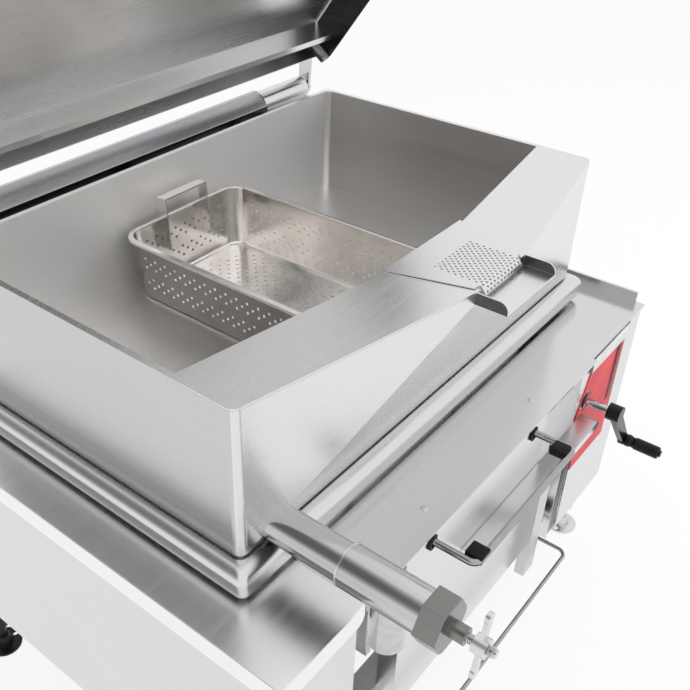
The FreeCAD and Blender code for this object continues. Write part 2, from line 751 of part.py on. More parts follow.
def worm():
    # A gap of the thread stands under the wheel's lowest tooth.
    parts = [Part.makeCylinder(WORM_PITCH_R - TOOTH_ROOT, WORM_L, V(0, 0, 0))]
    trim = Part.makeCylinder(2 * WORM_PITCH_R, WORM_L, V(0, 0, 0))
    for index in range(WORM_STARTS):
        ridge = worm_thread(360.0 * index / WORM_STARTS)
        ridge.translate(V(0, 0, -WORM_LEAD))
        parts.append(ridge.common(trim))
    body = parts[0].multiFuse(parts[1:])
    body = body.cut(Part.makeCylinder(CRANK_SHAFT_R, 2 * WORM_L, V(0, 0, -1)))
    # Turned so that its axis lies along +y, then to the phase that leaves a gap on top.
    body.rotate(V(0, 0, 0), V(1, 0, 0), -90)
    body.rotate(V(0, 0, 0), V(0, 1, 0), -360.0 * WORM_L / 2 / WORM_LEAD)
    body.translate(V(CRANK_X, DRIVE_Y - WORM_L / 2, CRANK_Z))
    return body


def gear_carrier():
    # Shelf inside the console with the upright plates that carry the two shafts.
    t = PLATE_T
    worm_tip = WORM_PITCH_R + WHEEL_TIP
    wheel_side = CRANK_X - worm_tip - PLATE_GAP - t
    arm_side = ARM_RIGHT_X + PINION_W / 2 + PLATE_GAP / 2
    rear = FEET_REAR_Y - POST / 2
    front = CONSOLE_FRONT + PANEL_RETURN
    parts = [box(CONSOLE_IN + PANEL, POST_X - POST / 2, front, rear, SHELF_Z - PANEL, SHELF_Z)]
    for x in (wheel_side, arm_side):
        plate = box(x, x + t, DRIVE_Y - PLATE_HALF, DRIVE_Y + PLATE_HALF, SHELF_Z, DRIVE_Z + PLATE_HALF)
        parts.append(plate.cut(rod_x(x - 1, x + t + 1, DRIVE_Y, DRIVE_Z, DRIVE_SHAFT_R + RUN)))
    for y in (DRIVE_Y - WORM_L / 2 - PLATE_GAP - t, DRIVE_Y + WORM_L / 2 + PLATE_GAP):
        plate = box(CRANK_X - worm_tip, CRANK_X + worm_tip, y, y + t, SHELF_Z, CRANK_Z + worm_tip)
        parts.append(plate.cut(rod_y(CRANK_X, y - 1, y + t + 1, CRANK_Z, CRANK_SHAFT_R + RUN)))
    return join(parts)


def crank_bushing():
    y = CONSOLE_FRONT + PANEL
    flange = rod_y(CRANK_X, y, y + 4, CRANK_Z, CRANK_SHAFT_R + 10)
    sleeve = rod_y(CRANK_X, y, y + 20, CRANK_Z, CRANK_SHAFT_R + 5)
    return join([flange, sleeve]).cut(rod_y(CRANK_X, y - 1, y + 21, CRANK_Z, CRANK_SHAFT_R + RUN))


def crank_shaft():
    return rod_y(CRANK_X, CRANK_HUB_FRONT + 4, DRIVE_Y + WORM_L / 2 + 16, CRANK_Z, CRANK_SHAFT_R)


def crank_end():
    angle = math.radians(CRANK_ARM_ANGLE)
    return CRANK_X + CRANK_ARM * math.cos(angle), CRANK_Z + CRANK_ARM * math.sin(angle)


def crank_arm():
    back = CRANK_HUB_FRONT + CRANK_HUB_L
    hub = rod_y(CRANK_X, CRANK_HUB_FRONT, back, CRANK_Z, CRANK_HUB_R)
    x, z = crank_end()
    front = CRANK_HUB_FRONT + 6
    rear = front + CRANK_ARM_T
    eye = rod_y(x, front, rear, z, GRIP_R)
    angle = math.radians(CRANK_ARM_ANGLE)
    side_x = -math.sin(angle)
    side_z = math.cos(angle)
    wide = CRANK_HUB_R * 0.8
    slim = GRIP_R * 0.8
    corners = [(CRANK_X + side_x * wide, CRANK_Z + side_z * wide), (x + side_x * slim, z + side_z * slim)]
    corners += [(x - side_x * slim, z - side_z * slim), (CRANK_X - side_x * wide, CRANK_Z - side_z * wide)]
    wire = Part.makePolygon([V(px, front, pz) for px, pz in corners + corners[:1]])
    blade = Part.Face(wire).extrude(V(0, CRANK_ARM_T, 0))
    pin = rod_y(x, front - GRIP_L + 1, front, z, GRIP_PIN_R)
    head = rod_y(x, front - GRIP_L - 1, front - GRIP_L + 3 - 2 * REST_GAP, z, GRIP_PIN_R + 2)
    arm = join([hub, blade, eye, pin, head])
    return arm.cut(rod_y(CRANK_X, CRANK_HUB_FRONT + 4, back + 1, CRANK_Z, CRANK_SHAFT_R))


def crank_grip():
    x, z = crank_end()
    front = CRANK_HUB_FRONT + 6 - REST_GAP
    body = rod_y(x, front - GRIP_L + 3, front, z, GRIP_R)
    ends = [edge for edge in body.Edges if edge.BoundBox.YLength < 1e-6]
    body = body.makeFillet(4.0, ends)
    waist = Part.makeTorus(GRIP_R + 8, 10, V(x, front - 16, z), V(0, 1, 0))
    body = body.cut(waist)
    return body.cut(rod_y(x, front - GRIP_L, front + 1, z, GRIP_PIN_R + RUN))


def left_deck():
    x0 = -BODY_HALF - PANEL
    y1 = BODY_REAR
    plate = box(x0, LEFT_CAB_IN, LEFT_DECK_FRONT, OPENING_FRONT, DECK_LOW, DECK_Z)
    side = box(x0, -OPENING_HALF, OPENING_FRONT, y1, DECK_LOW, DECK_Z)
    flange_low = DECK_Z - DECK_FLANGE_H
    outer = box(x0, x0 + PANEL, LEFT_DECK_FRONT, y1, flange_low, DECK_Z)
    front = box(x0, LEFT_CAB_IN, LEFT_DECK_FRONT, LEFT_DECK_FRONT + PANEL, flange_low, DECK_Z)
    ends = []
    for edge in edges_along(front, V(0, 1, 0)):
        spot = edge.Vertexes[0].Point
        if abs(spot.x - LEFT_CAB_IN) < 1e-6 and abs(spot.z - flange_low) < 1e-6:
            ends.append(edge)
    front = front.makeFillet(DECK_FLANGE_H * 0.45, ends)
    deck = join([plate, side, outer, front])
    bends = []
    for edge in edges_at_z(deck, DECK_Z):
        bounds = edge.BoundBox
        if abs(bounds.XMax - x0) < 1e-4 or abs(bounds.YMax - LEFT_DECK_FRONT) < 1e-4:
            bends.append(edge)
    return deck.makeFillet(1.8, bends)


def apron():
    return box(LEFT_CAB_IN + REST_GAP, BODY_HALF, APRON_FRONT, OPENING_FRONT, DECK_LOW, DECK_Z)


def right_deck():
    # Side strip of the deck with the raised edge along the body's right side.
    plate = box(OPENING_HALF, BODY_HALF, OPENING_FRONT, BODY_REAR, DECK_LOW, DECK_Z)
    edge = box(BODY_HALF - UPSTAND_T, BODY_HALF, CONSOLE_SIDE_FRONT, BODY_REAR, DECK_Z,
               DECK_Z + UPSTAND_H)
    return join([plate, edge])


def rear_deck():
    return box(-OPENING_HALF, OPENING_HALF, OPENING_REAR, BODY_REAR, DECK_LOW, DECK_Z)


def pan_rests():
    pads = []
    for x in (-OPENING_HALF * 0.7, OPENING_HALF * 0.7):
        pads.append(rod_z(x, OPENING_REAR + 15, DECK_Z, COVER_LOW - REST_GAP, 10))
    return group(pads)


def left_cabinet():
    # Side, front and inner wall of the left pedestal, folded from one sheet.
    outer = box(-BODY_HALF, LEFT_CAB_IN, LEFT_CAB_FRONT, BODY_REAR - PANEL, BODY_BOTTOM, DECK_LOW)
    inner = box(-BODY_HALF + PANEL, LEFT_CAB_IN - PANEL, LEFT_CAB_FRONT + PANEL, BODY_REAR,
                BODY_BOTTOM - 1, DECK_LOW + 1)
    return outer.cut(inner).cut(rail_space())


def console_shell():
    # Front, rounded corner and right side of the console, folded from one sheet.
    r = CONSOLE_SIDE_FRONT - CONSOLE_FRONT
    outer = box(CONSOLE_IN, BODY_HALF, CONSOLE_FRONT, BODY_REAR - PANEL, CONSOLE_LOW, DECK_LOW)
    inner = box(CONSOLE_IN - 1, BODY_HALF - PANEL, CONSOLE_FRONT + PANEL, BODY_REAR, CONSOLE_LOW - 1,
                DECK_LOW + 1)
    corner = [e for e in edges_along(outer, V(0, 0, 1)) if e.BoundBox.XMin > CONSOLE_IN + 1
              and e.BoundBox.YMax < CONSOLE_FRONT + 1]
    outer = outer.makeFillet(r, corner)
    inner_corner = [e for e in edges_along(inner, V(0, 0, 1)) if e.BoundBox.XMin > CONSOLE_IN + 1
                    and e.BoundBox.YMax < CONSOLE_FRONT + PANEL + 1]
    inner = inner.makeFillet(r - PANEL, inner_corner)
    notch = box(CRANK_X - NOTCH_HALF, CRANK_X + NOTCH_HALF, CONSOLE_FRONT - 1, CONSOLE_FRONT + PANEL + 1,
                CRANK_Z - NOTCH_HALF, CRANK_Z + NOTCH_HALF)
    hole = rod_y(CRANK_X, CONSOLE_FRONT - 1, CONSOLE_FRONT + PANEL + 1, CRANK_Z, CRANK_SHAFT_R + 3)
    slot = box(CONSOLE_IN + PANEL, CONSOLE_IN + FRONT_SLOT_W, CONSOLE_FRONT - 1, CONSOLE_FRONT + PANEL + 1,
               CONSOLE_LOW - 1, FRONT_SLOT_TOP)
    return outer.cut(inner).cut(hole.common(notch)).cut(slot)


def console_inner_panel():
    sheet = box(CONSOLE_IN, CONSOLE_IN + PANEL, CONSOLE_FRONT + PANEL, BODY_REAR - PANEL, CONSOLE_LOW,
                DECK_LOW)
    return sheet.cut(rail_space())


def rear_panel():
    sheet = box(-BODY_HALF, BODY_HALF, BODY_REAR - PANEL, BODY_REAR, BODY_BOTTOM, DECK_LOW)
    return sheet.cut(rod_y(GLAND_X, BODY_REAR - 10, BODY_REAR + 1, GLAND_Z, CORD_GLAND_R - 4))


def front_panel():
    sheet = box(FRONT_PANEL_LEFT, FRONT_PANEL_RIGHT, FRONT_PANEL_Y - PANEL, FRONT_PANEL_Y,
                FRONT_PANEL_BOTTOM, DECK_LOW)
    left = box(FRONT_PANEL_LEFT, FRONT_PANEL_LEFT + PANEL, FRONT_PANEL_Y, FRONT_PANEL_Y + PANEL_RETURN,
               FRONT_PANEL_BOTTOM, DECK_LOW)
    right = box(FRONT_PANEL_RIGHT - PANEL, FRONT_PANEL_RIGHT, FRONT_PANEL_Y,
                FRONT_PANEL_Y + PANEL_RETURN, FRONT_PANEL_BOTTOM, DECK_LOW)
    panel = join([sheet, left, right])
    for x in (ROD_LEFT_X, ROD_RIGHT_X):
        panel = panel.cut(rod_y(x, FRONT_PANEL_Y - PANEL - 1, FRONT_PANEL_Y + 1, ROD_Z, ROD_R + 1))
    return panel


def red_panel():
    # Coloured face with its left edge slanting outwards down to the ledge.
    y0 = CONSOLE_FRONT - FACE_T
    left = RED_LEFT - RED_FOOT_OUT
    inner = RED_LEFT + PANEL
    corners = [(RED_LEFT, RED_TOP), (RED_RIGHT, RED_TOP), (RED_RIGHT, RED_LOW), (inner, RED_LOW)]
    corners += [(inner, RED_FOOT_LOW), (left, RED_FOOT_LOW), (left, RED_FOOT_TOP)]
    wire = Part.makePolygon([V(x, y0, z) for x, z in corners + corners[:1]])
    face = Part.Face(wire).extrude(V(0, FACE_T, 0))
    return face.cut(rod_y(CRANK_X, y0 - 1, CONSOLE_FRONT + 1, CRANK_Z, NOTCH_HALF))


def name_plate():
    return box(RED_LEFT, PLATE_RIGHT, CONSOLE_FRONT - FACE_T, CONSOLE_FRONT, RED_TOP, PLATE_TOP)


def front_ledge():
    y1 = FRONT_PANEL_Y - PANEL
    top = box(LEDGE_LEFT, LEDGE_RIGHT, LEDGE_FRONT, y1, LEDGE_Z - PANEL, LEDGE_Z)
    lip = box(LEDGE_LEFT, LEDGE_RIGHT, LEDGE_FRONT, LEDGE_FRONT + PANEL, LEDGE_Z - LEDGE_LIP, LEDGE_Z)
    back = box(LEDGE_LEFT, LEDGE_RIGHT, y1 - PANEL, y1, LEDGE_Z - LEDGE_LIP, LEDGE_Z)
    # Closed end piece in front of the console, slightly higher than the rest.
    x0 = LEDGE_RIGHT - LEDGE_END_W
    high = LEDGE_Z + LEDGE_END_RISE
    end = box(x0, LEDGE_RIGHT, LEDGE_FRONT, y1, high - LEDGE_END_H, high)
    hollow = box(x0 + PANEL, LEDGE_RIGHT - PANEL, LEDGE_FRONT + PANEL, y1 - PANEL,
                 high - LEDGE_END_H - 1, high - PANEL)
    return join([top, lip, back, end]).cut(hollow)


def u_frame(x_left, x_right, front, back, z, r, bend):
    # Round bar bent to a U that lies flat, open to the rear.
    bar = rod_x(x_left + bend, x_right - bend, front, z, r)
    left = rod_y(x_left, front + bend, back, z, r)
    right = rod_y(x_right, front + bend, back, z, r)
    pieces = [bar, left, right]
    for x, side in ((x_left + bend, -1), (x_right - bend, 1)):
        ring = Part.makeTorus(bend, r, V(x, front + bend, z))
        reach = bend + 2 * r
        x0 = min(x, x + side * reach)
        x1 = max(x, x + side * reach)
        pieces.append(ring.common(box(x0, x1, front - 2 * r, front + bend, z - 2 * r, z + 2 * r)))
    return join(pieces)


def carrier_rods():
    return u_frame(ROD_LEFT_X, ROD_RIGHT_X, ROD_FRONT, ROD_BACK, ROD_Z, ROD_R, ROD_BEND_R)


def carrier_bumpers():
    # Flat pads that sit on the bar at its two bends.
    top = ROD_Z + ROD_R + BUMPER_T - 1
    front = ROD_FRONT - BUMPER / 3
    rods = carrier_rods()
    pads = []
    for x in (ROD_LEFT_X - ROD_R / 2, ROD_RIGHT_X + ROD_R / 2 - BUMPER):
        pad = box(x, x + BUMPER, front, front + BUMPER, top - BUMPER_T, top)
        pads.append(pad.makeFillet(BUMPER_T, edges_along(pad, V(0, 0, 1))).cut(rods))
    return group(pads)


def rod_grommets():
    rings = []
    for x in (ROD_LEFT_X, ROD_RIGHT_X):
        y = FRONT_PANEL_Y - PANEL - GROMMET_T
        half = min(GROMMET_R, DECK_LOW - ROD_Z)
        ring = box(x - half, x + half, y, y + GROMMET_T, ROD_Z - half, DECK_LOW)
        rings.append(ring.cut(rod_y(x, y - 1, y + GROMMET_T + 1, ROD_Z, ROD_R + RUN)))
    return group(rings)


def rod_guides():
    # Bar between the pedestals with a guide block for each rod.
    parts = [box(LEFT_CAB_IN, CONSOLE_IN, GUIDE_Y, GUIDE_Y + GUIDE_W, ROD_Z - GUIDE_H / 2 - 25,
                 ROD_Z - GUIDE_H / 2)]
    for x in (ROD_LEFT_X, ROD_RIGHT_X):
        parts.append(box(x - GUIDE_HALF, x + GUIDE_HALF, GUIDE_Y, GUIDE_Y + GUIDE_W,
                         ROD_Z - GUIDE_H / 2, ROD_Z + GUIDE_H / 2))
    guides = join(parts)
    for x in (ROD_LEFT_X, ROD_RIGHT_X):
        guides = guides.cut(rod_y(x, GUIDE_Y - 1, GUIDE_Y + GUIDE_W + 1, ROD_Z, ROD_R + RUN))
    return guides


def wire_carrier():
    return u_frame(-WIRE_HALF, WIRE_HALF, WIRE_FRONT, WIRE_BACK, WIRE_Z, WIRE_R, WIRE_BEND_R)


def knob_z():
    return (WIRE_Z + RAIL_Z) / 2 + 4


def clamp_knob():
    x = WIRE_HALF
    y = FEET_FRONT_Y - POST / 2 - 3
    body = rod_y(x, y - KNOB_H, y, knob_z(), KNOB_R)
    lobes = 5
    for index in range(lobes):
        angle = 2 * math.pi * (index + 0.5) / lobes
        reach = KNOB_R * 1.25
        cut = rod_y(x + reach * math.cos(angle), y - KNOB_H - 1, y + 1,
                    knob_z() + reach * math.sin(angle), KNOB_R * 0.45)
        body = body.cut(cut)
    stem = rod_y(x, y - 1, y + 3 + POST / 2, knob_z(), KNOB_STEM_R)
    return join([body, stem])


def guide_channel():
    x = CHANNEL_X
    back = FRONT_PANEL_Y - PANEL
    outer = box(x - CHANNEL_HALF, x + CHANNEL_HALF, back - CHANNEL_D, back, CHANNEL_LOW, CHANNEL_TOP)
    hollow = box(x - CHANNEL_HALF + PANEL, x + CHANNEL_HALF + 1, back - CHANNEL_D + PANEL,
                 back - PANEL, CHANNEL_LOW - 1, CHANNEL_TOP + 1)
    return outer.cut(hollow)


def rail_space():
    # Room for the cross rails where they pass through the pedestals' inner walls.
    half = POST / 2 + REST_GAP
    spaces = []
    for y in (FEET_FRONT_Y, FEET_MID_Y, FEET_REAR_Y):
        spaces.append(box(LEFT_CAB_IN - 2 * PANEL, CONSOLE_IN + 2 * PANEL, y - half, y + half,
                          RAIL_Z - REST_GAP, RAIL_Z + RAIL_H + REST_GAP))
    return group(spaces)


def base_frame():
    # Welded frame: four posts, side rails, cross rails and the wire carrier's guide blocks.
    half = POST / 2
    parts = []
    for x in (-POST_X, POST_X):
        for y in (FEET_FRONT_Y, FEET_REAR_Y):
            parts.append(box(x - half, x + half, y - half, y + half, FOOT_TOP, DECK_LOW))
        for z in (RAIL_Z, DECK_LOW - RAIL_H):
            parts.append(box(x - half, x + half, FEET_FRONT_Y, FEET_REAR_Y, z, z + RAIL_H))
    for y in (FEET_FRONT_Y, FEET_MID_Y, FEET_REAR_Y):
        parts.append(box(-POST_X, POST_X, y - half, y + half, RAIL_Z, RAIL_Z + RAIL_H))
    for x in (-WIRE_HALF, WIRE_HALF):
        for y in (FEET_FRONT_Y - half, FEET_MID_Y - half):
            parts.append(box(x - HANGER_HALF, x + HANGER_HALF, y, y + POST, WIRE_Z - HANGER_HALF, RAIL_Z))
    frame = join(parts)
    for x in (-WIRE_HALF, WIRE_HALF):
        frame = frame.cut(rod_y(x, FEET_FRONT_Y - POST, FEET_REAR_Y, WIRE_Z, WIRE_R + RUN))
    y = FEET_FRONT_Y - POST
    return frame.cut(rod_y(WIRE_HALF, y, FEET_FRONT_Y, knob_z(), KNOB_STEM_R + RUN))


def feet():
    # Adjustable feet with a floor flange that has an anchor hole on each side.
    parts = []
    for x in (-POST_X, POST_X):
        for y in (FEET_FRONT_Y, FEET_REAR_Y):
            pad = rod_z(x, y, 0, FOOT_PAD_T, FOOT_PAD_R)
            cone = Part.makeCone(FOOT_CONE_R, FOOT_CONE_R * 0.7, 26, V(x, y, FOOT_PAD_T))
            neck = rod_z(x, y, FOOT_PAD_T + 26, 62, FOOT_STEM_R)
            boot = Part.makeCone(FOOT_R * 0.8, FOOT_R, FOOT_TOP - 62 - 12, V(x, y, 62))
            collar = rod_z(x, y, FOOT_TOP - 12, FOOT_TOP, FOOT_R + 3)
            foot = join([pad, cone, neck, boot, collar])
            for side in (-1, 1):
                foot = foot.cut(rod_z(x + side * FOOT_HOLE_OFFSET, y, -1, FOOT_PAD_T + 1, FOOT_HOLE_R))
            parts.append(foot)
    return group(parts)


def dome_screw(x, y, z):
    ball_r = (SCREW_HEAD_R ** 2 + SCREW_HEAD_H ** 2) / (2 * SCREW_HEAD_H)
    ball = Part.makeSphere(ball_r, V(x, y, z + SCREW_HEAD_H - ball_r))
    return ball.common(rod_z(x, y, z, z + SCREW_HEAD_H + 1, SCREW_HEAD_R))


def apron_screws():
    return group([dome_screw(x, SCREW_Y, DECK_Z) for x in (SCREW_LEFT_X, SCREW_RIGHT_X)])


def control_box():
    return round_box(CONTROL_LEFT, CONTROL_RIGHT, CONTROL_FRONT, CONTROL_BACK, SHELF_Z,
                     SHELF_Z + CONTROL_H, 6)


def power_gland():
    y = BODY_REAR
    nut = rod_y(GLAND_X, y, y + 10, GLAND_Z, CORD_GLAND_R)
    dome = Part.makeCone(CORD_GLAND_R - 1, CORD_BORE_R + 2, 14, V(GLAND_X, y + 10, GLAND_Z), V(0, 1, 0))
    thread = rod_y(GLAND_X, y - 16, y, GLAND_Z, CORD_GLAND_R - 4)
    body = join([nut, dome, thread])
    return body.cut(rod_y(GLAND_X, y - 17, y + 30, GLAND_Z, CORD_BORE_R))


def valve_tube():
    pipe = rod_y(VALVE_X, -SLEEVE_START, PAN_WALL, VALVE_Z, VALVE_R)
    return pipe.cut(rod_y(VALVE_X, -SLEEVE_START - 1, PAN_WALL + 1, VALVE_Z, VALVE_BORE_R))


def valve_body():
    pipe = rod_y(VALVE_X, -BONNET_START, -SLEEVE_START, VALVE_Z, VALVE_SLEEVE_R)
    spout = rod_z(VALVE_X, OUTLET_Y, OUTLET_LOW, VALVE_Z, OUTLET_R)
    body = join([pipe, spout])
    body = body.cut(rod_y(VALVE_X, -BONNET_START - 1, SEAT_Y - SEAT_T, VALVE_Z, VALVE_CHAMBER_R))
    body = body.cut(rod_y(VALVE_X, SEAT_Y - SEAT_T - 1, SEAT_Y, VALVE_Z, VALVE_BORE_R))
    body = body.cut(rod_y(VALVE_X, SEAT_Y, -SLEEVE_START + 1, VALVE_Z, VALVE_CHAMBER_R - 1))
    body = body.cut(rod_z(VALVE_X, OUTLET_Y, OUTLET_LOW, VALVE_Z, OUTLET_THROAT_R))
    return body.cut(rod_z(VALVE_X, OUTLET_Y, OUTLET_LOW - 1, OUTLET_LOW + OUTLET_SOCKET_L, OUTLET_BORE_R))


def hexagon_y(x, z, flats, y0, y1):
    r = flats / math.sqrt(3)
    points = []
    for index in range(6):
        angle = math.radians(60 * index)
        points.append(V(x + r * math.cos(angle), y0, z + r * math.sin(angle)))
    return Part.Face(Part.makePolygon(points + points[:1])).extrude(V(0, y1 - y0, 0))


def bonnet_nut():
    y1 = -BONNET_START
    y0 = y1 - BONNET_L
    hexagon = hexagon_y(VALVE_X, VALVE_Z, BONNET_FLATS, y0, y1)
    r = BONNET_FLATS / math.sqrt(3)
    chamfer = Part.makeCone(r - 3, r + BONNET_L, BONNET_L + 3, V(VALVE_X, y0, VALVE_Z), V(0, 1, 0))
    nut = hexagon.common(chamfer)
    gland = rod_y(VALVE_X, y0 - GLAND_L, y0, VALVE_Z, GLAND_R)
    nut = join([nut, gland])
    return nut.cut(rod_y(VALVE_X, y0 - GLAND_L - 1, y1 + 1, VALVE_Z, STEM_R + RUN))


def plug_back():
    return SEAT_Y - SEAT_T - REST_GAP


def valve_plug():
    # Disc on the seat ring, with a blind hub in which the stem's end turns.
    y1 = plug_back()
    y0 = y1 - DISC_T
    disc = rod_y(VALVE_X, y0, y1, VALVE_Z, DISC_R)
    hub = rod_y(VALVE_X, y0 - PLUG_HUB_L, y0, VALVE_Z, PLUG_HUB_R)
    return join([disc, hub]).cut(rod_y(VALVE_X, y0 - PLUG_HUB_L - 1, y0, VALVE_Z, STEM_R + RUN))


def valve_stem():
    inner = plug_back() - DISC_T - REST_GAP
    return rod_y(VALVE_X, -STEM_END, inner, VALVE_Z, STEM_R)


def valve_handle():
    # Cast wing handle with a hub and two rounded arms.
    y0 = -HANDLE_AT - HANDLE_T / 2
    y1 = y0 + HANDLE_T
    hub = rod_y(VALVE_X, y0 - 4, y1 + 4, VALVE_Z, HANDLE_HUB_R)
    blade = box(VALVE_X - 6, VALVE_X + 6, y0 + 2, y1 - 2, VALVE_Z - HANDLE_REACH, VALVE_Z + HANDLE_REACH)
    knobs = []
    for side in (-1, 1):
        knobs.append(rod_y(VALVE_X, y0 + 2, y1 - 2, VALVE_Z + side * HANDLE_REACH, 8))
    handle = join([hub, blade] + knobs)
    handle.rotate(V(VALVE_X, 0, VALVE_Z), V(0, 1, 0), HANDLE_TILT)
    return handle.cut(rod_y(VALVE_X, y0 - 5, y1 + 5, VALVE_Z, STEM_R))


def basket_outline(half, y0, y1, r, z):
    solid = round_box(-half, half, y0, y1, z, z + 1, r)
    for face in solid.Faces:
        if abs(face.CenterOfMass.z - z) < 1e-6:
            return face.OuterWire
    raise ValueError("no lower face")


def basket():
    low = FLOOR_TOP + REST_GAP
    front = BASKET_BACK - BASKET_L
    top_in = BASKET_RIM_W
    low_in = BASKET_RIM_W + BASKET_TAPER
    top = basket_outline(BASKET_HALF - top_in, front + top_in, BASKET_BACK - top_in, BASKET_R, BASKET_TOP)
    base = basket_outline(BASKET_HALF - low_in, front + low_in, BASKET_BACK - low_in, BASKET_R - 4, low)
    outer = Part.makeLoft([base, top], True, True)
    t = BASKET_T
    top = basket_outline(BASKET_HALF - top_in - t, front + top_in + t, BASKET_BACK - top_in - t,
                         BASKET_R - t, BASKET_TOP + 1)
    base = basket_outline(BASKET_HALF - low_in - t, front + low_in + t, BASKET_BACK - low_in - t,
                          BASKET_R - 4 - t, low + t)
    inner = Part.makeLoft([base, top], True, True)
    rim = round_box(-BASKET_HALF, BASKET_HALF, front, BASKET_BACK, BASKET_TOP - 5, BASKET_TOP,
                    BASKET_R + top_in)
    rim = rim.makeFillet(2.2, edges_at_z(rim, BASKET_TOP) + edges_at_z(rim, BASKET_TOP - 5))
    return join([outer, rim]).cut(inner)


def basket_handle():
    # Flat bar loop riveted to the inside of the basket's sloping rear wall.
    half = BASKET_HANDLE_HALF
    t = BASKET_HANDLE_T
    y1 = BASKET_BACK - BASKET_RIM_W - BASKET_T
    y0 = y1 - BASKET_HANDLE_W
    low = BASKET_TOP - BASKET_HANDLE_LEG
    top = BASKET_HANDLE_TOP
    x0 = BASKET_HANDLE_X - half
    x1 = BASKET_HANDLE_X + half
    loop = box(x0, x1, y0, y1, low, top)
    loop = loop.cut(box(x0 + t, x1 - t, y0 - 1, y1 + 1, low - 1, top - t))
    loop = loop.makeFillet(2.0, [e for e in edges_along(loop, V(0, 1, 0))
                                 if abs(e.Vertexes[0].Point.z - top) < 1e-6])
    slope = math.degrees(math.atan2(BASKET_TAPER, BASKET_TOP - FLOOR_TOP))
    return turned(loop, y1, BASKET_TOP, -slope).cut(basket())


def torsion_tube():
    # Cover of the lid's counterbalance: flat front, rounded back, with end bushes.
    y = LID_HINGE_Y
    z = LID_HINGE_Z
    r = TUBE_R
    front = y - r
    low = z - r
    p = [V(TUBE_LEFT, front, low), V(TUBE_LEFT, front, z + TUBE_EDGE)]
    crown = V(TUBE_LEFT, y, z + r)
    back = V(TUBE_LEFT, y + r, z)
    lower = V(TUBE_LEFT, y + r * 0.6, low)
    swing = V(TUBE_LEFT, y + r * math.sin(math.radians(45)), z + r * math.cos(math.radians(45)))
    edges = [Part.LineSegment(p[0], p[1]).toShape(), Part.LineSegment(p[1], crown).toShape()]
    edges += [Part.Arc(crown, swing, back).toShape(), Part.LineSegment(back, lower).toShape()]
    edges += [Part.LineSegment(lower, p[0]).toShape()]
    body = Part.Face(Part.Wire(edges)).extrude(V(TUBE_RIGHT - TUBE_LEFT, 0, 0))
    hollow = rod_x(TUBE_LEFT + TUBE_BUSH, TUBE_RIGHT - TUBE_BUSH, y, z, r - TUBE_WALL)
    bore = rod_x(TUBE_LEFT - 1, TUBE_RIGHT + 1, y, z, TORSION_R + RUN)
    return body.cut(hollow).cut(bore)


def tube_brackets():
    # Blocks on the pan's rear wall carry the tube, and a long bearing supports each end.
    y = LID_HINGE_Y
    z = LID_HINGE_Z
    r = TUBE_R - 4
    parts = []
    half = BRACKET_W / 2
    low = z - TUBE_R
    for x in (TUBE_LEFT + BRACKET_W, (TUBE_LEFT + TUBE_RIGHT) / 2, TUBE_RIGHT - BRACKET_W):
        parts.append(box(x - half, x + half, PAN_D, y + TUBE_R / 2, low - BRACKET_H, low))
    for x0, x1 in ((TUBE_RIGHT, BEARING_RIGHT), (BEARING_LEFT, TUBE_LEFT)):
        bearing = join([rod_x(x0, x1, y, z, r), box(x0, x1, PAN_D, y, z - r - BRACKET_H / 2, z - r / 2)])
        parts.append(bearing.cut(rod_x(x0 - 1, x1 + 1, y, z, TORSION_R + RUN)))
    return group(parts)


def opened(shape):
    return turned(shape, LID_HINGE_Y, LID_HINGE_Z, -LID_OPEN)


def torsion_bar():
    end = LINK_X + LINK_T / 2
    return rod_x(-end, end, LID_HINGE_Y, LID_HINGE_Z, TORSION_R)


def lid_shell():
    top = LID_LOW + LID_H
    outer = round_box(-LID_HALF, LID_HALF, LID_FRONT, LID_REAR, LID_LOW, top, LID_CORNER_R)
    outer = outer.makeFillet(8.0, edges_at_z(outer, top))
    t = LID_SHEET
    inner = round_box(-LID_HALF + t, LID_HALF - t, LID_FRONT + t, LID_REAR - t, LID_LOW - 1, top - t,
                      LID_CORNER_R - t)
    inner = inner.makeFillet(6.0, edges_at_z(inner, top - t))
    # The rear wall stops short of the rim, and leaves a slot for draining.
    half = LID_HALF - LID_CORNER_R
    slot = box(-half, half, LID_REAR - 2 * t, LID_REAR + t, LID_LOW - t, LID_LOW + LID_NOTCH)
    return opened(outer.cut(inner).cut(slot))


def drip_strip():
    # Deflector under the lid's rear, folded to a shallow gutter at its lower edge.
    t = LID_SHEET
    top = LID_LOW + LID_H - t / 2
    low = LID_LOW + STRIP_LOW_H
    y0 = LID_REAR - STRIP_LOW_IN
    y1 = LID_REAR - STRIP_TOP_IN
    points = [(y1, top), (y0, low), (y0 + GUTTER_W, low - t), (y0 + GUTTER_W, low + GUTTER_LIP)]
    points += [(y0 + GUTTER_W - t, low + GUTTER_LIP), (y0 + GUTTER_W - t, low + t)]
    points += [(y0 + t, low + t), (y1 + t, top)]
    half = LID_HALF - LID_SHEET
    pieces = opened(slab_x(points, -half, half)).cut(lid_shell()).Solids
    return max(pieces, key=lambda solid: solid.Volume)


def lid_links():
    # Flat bars clamp the torsion bar's ends to the lid's rear wall.
    parts = []
    y = LID_HINGE_Y
    z = LID_HINGE_Z
    for x in (-LINK_X, LINK_X):
        x0 = x - LINK_T / 2
        x1 = x + LINK_T / 2
        boss = rod_x(x0, x1, y, z, LINK_W / 2 + 4)
        points = [(y + LINK_W / 2, z - LINK_T), (y + LINK_W / 2, z + LINK_W / 2)]
        points += [(LID_REAR, LID_LOW + LID_NOTCH + 2 * LINK_W), (LID_REAR, LID_LOW + LID_NOTCH + LINK_T)]
        points += [(y - LINK_W / 2, z - LINK_T)]
        link = join([boss, slab_x(points, x0, x1)])
        parts.append(opened(link.cut(rod_x(x0 - 1, x1 + 1, y, z, TORSION_R))))
    return group(parts)


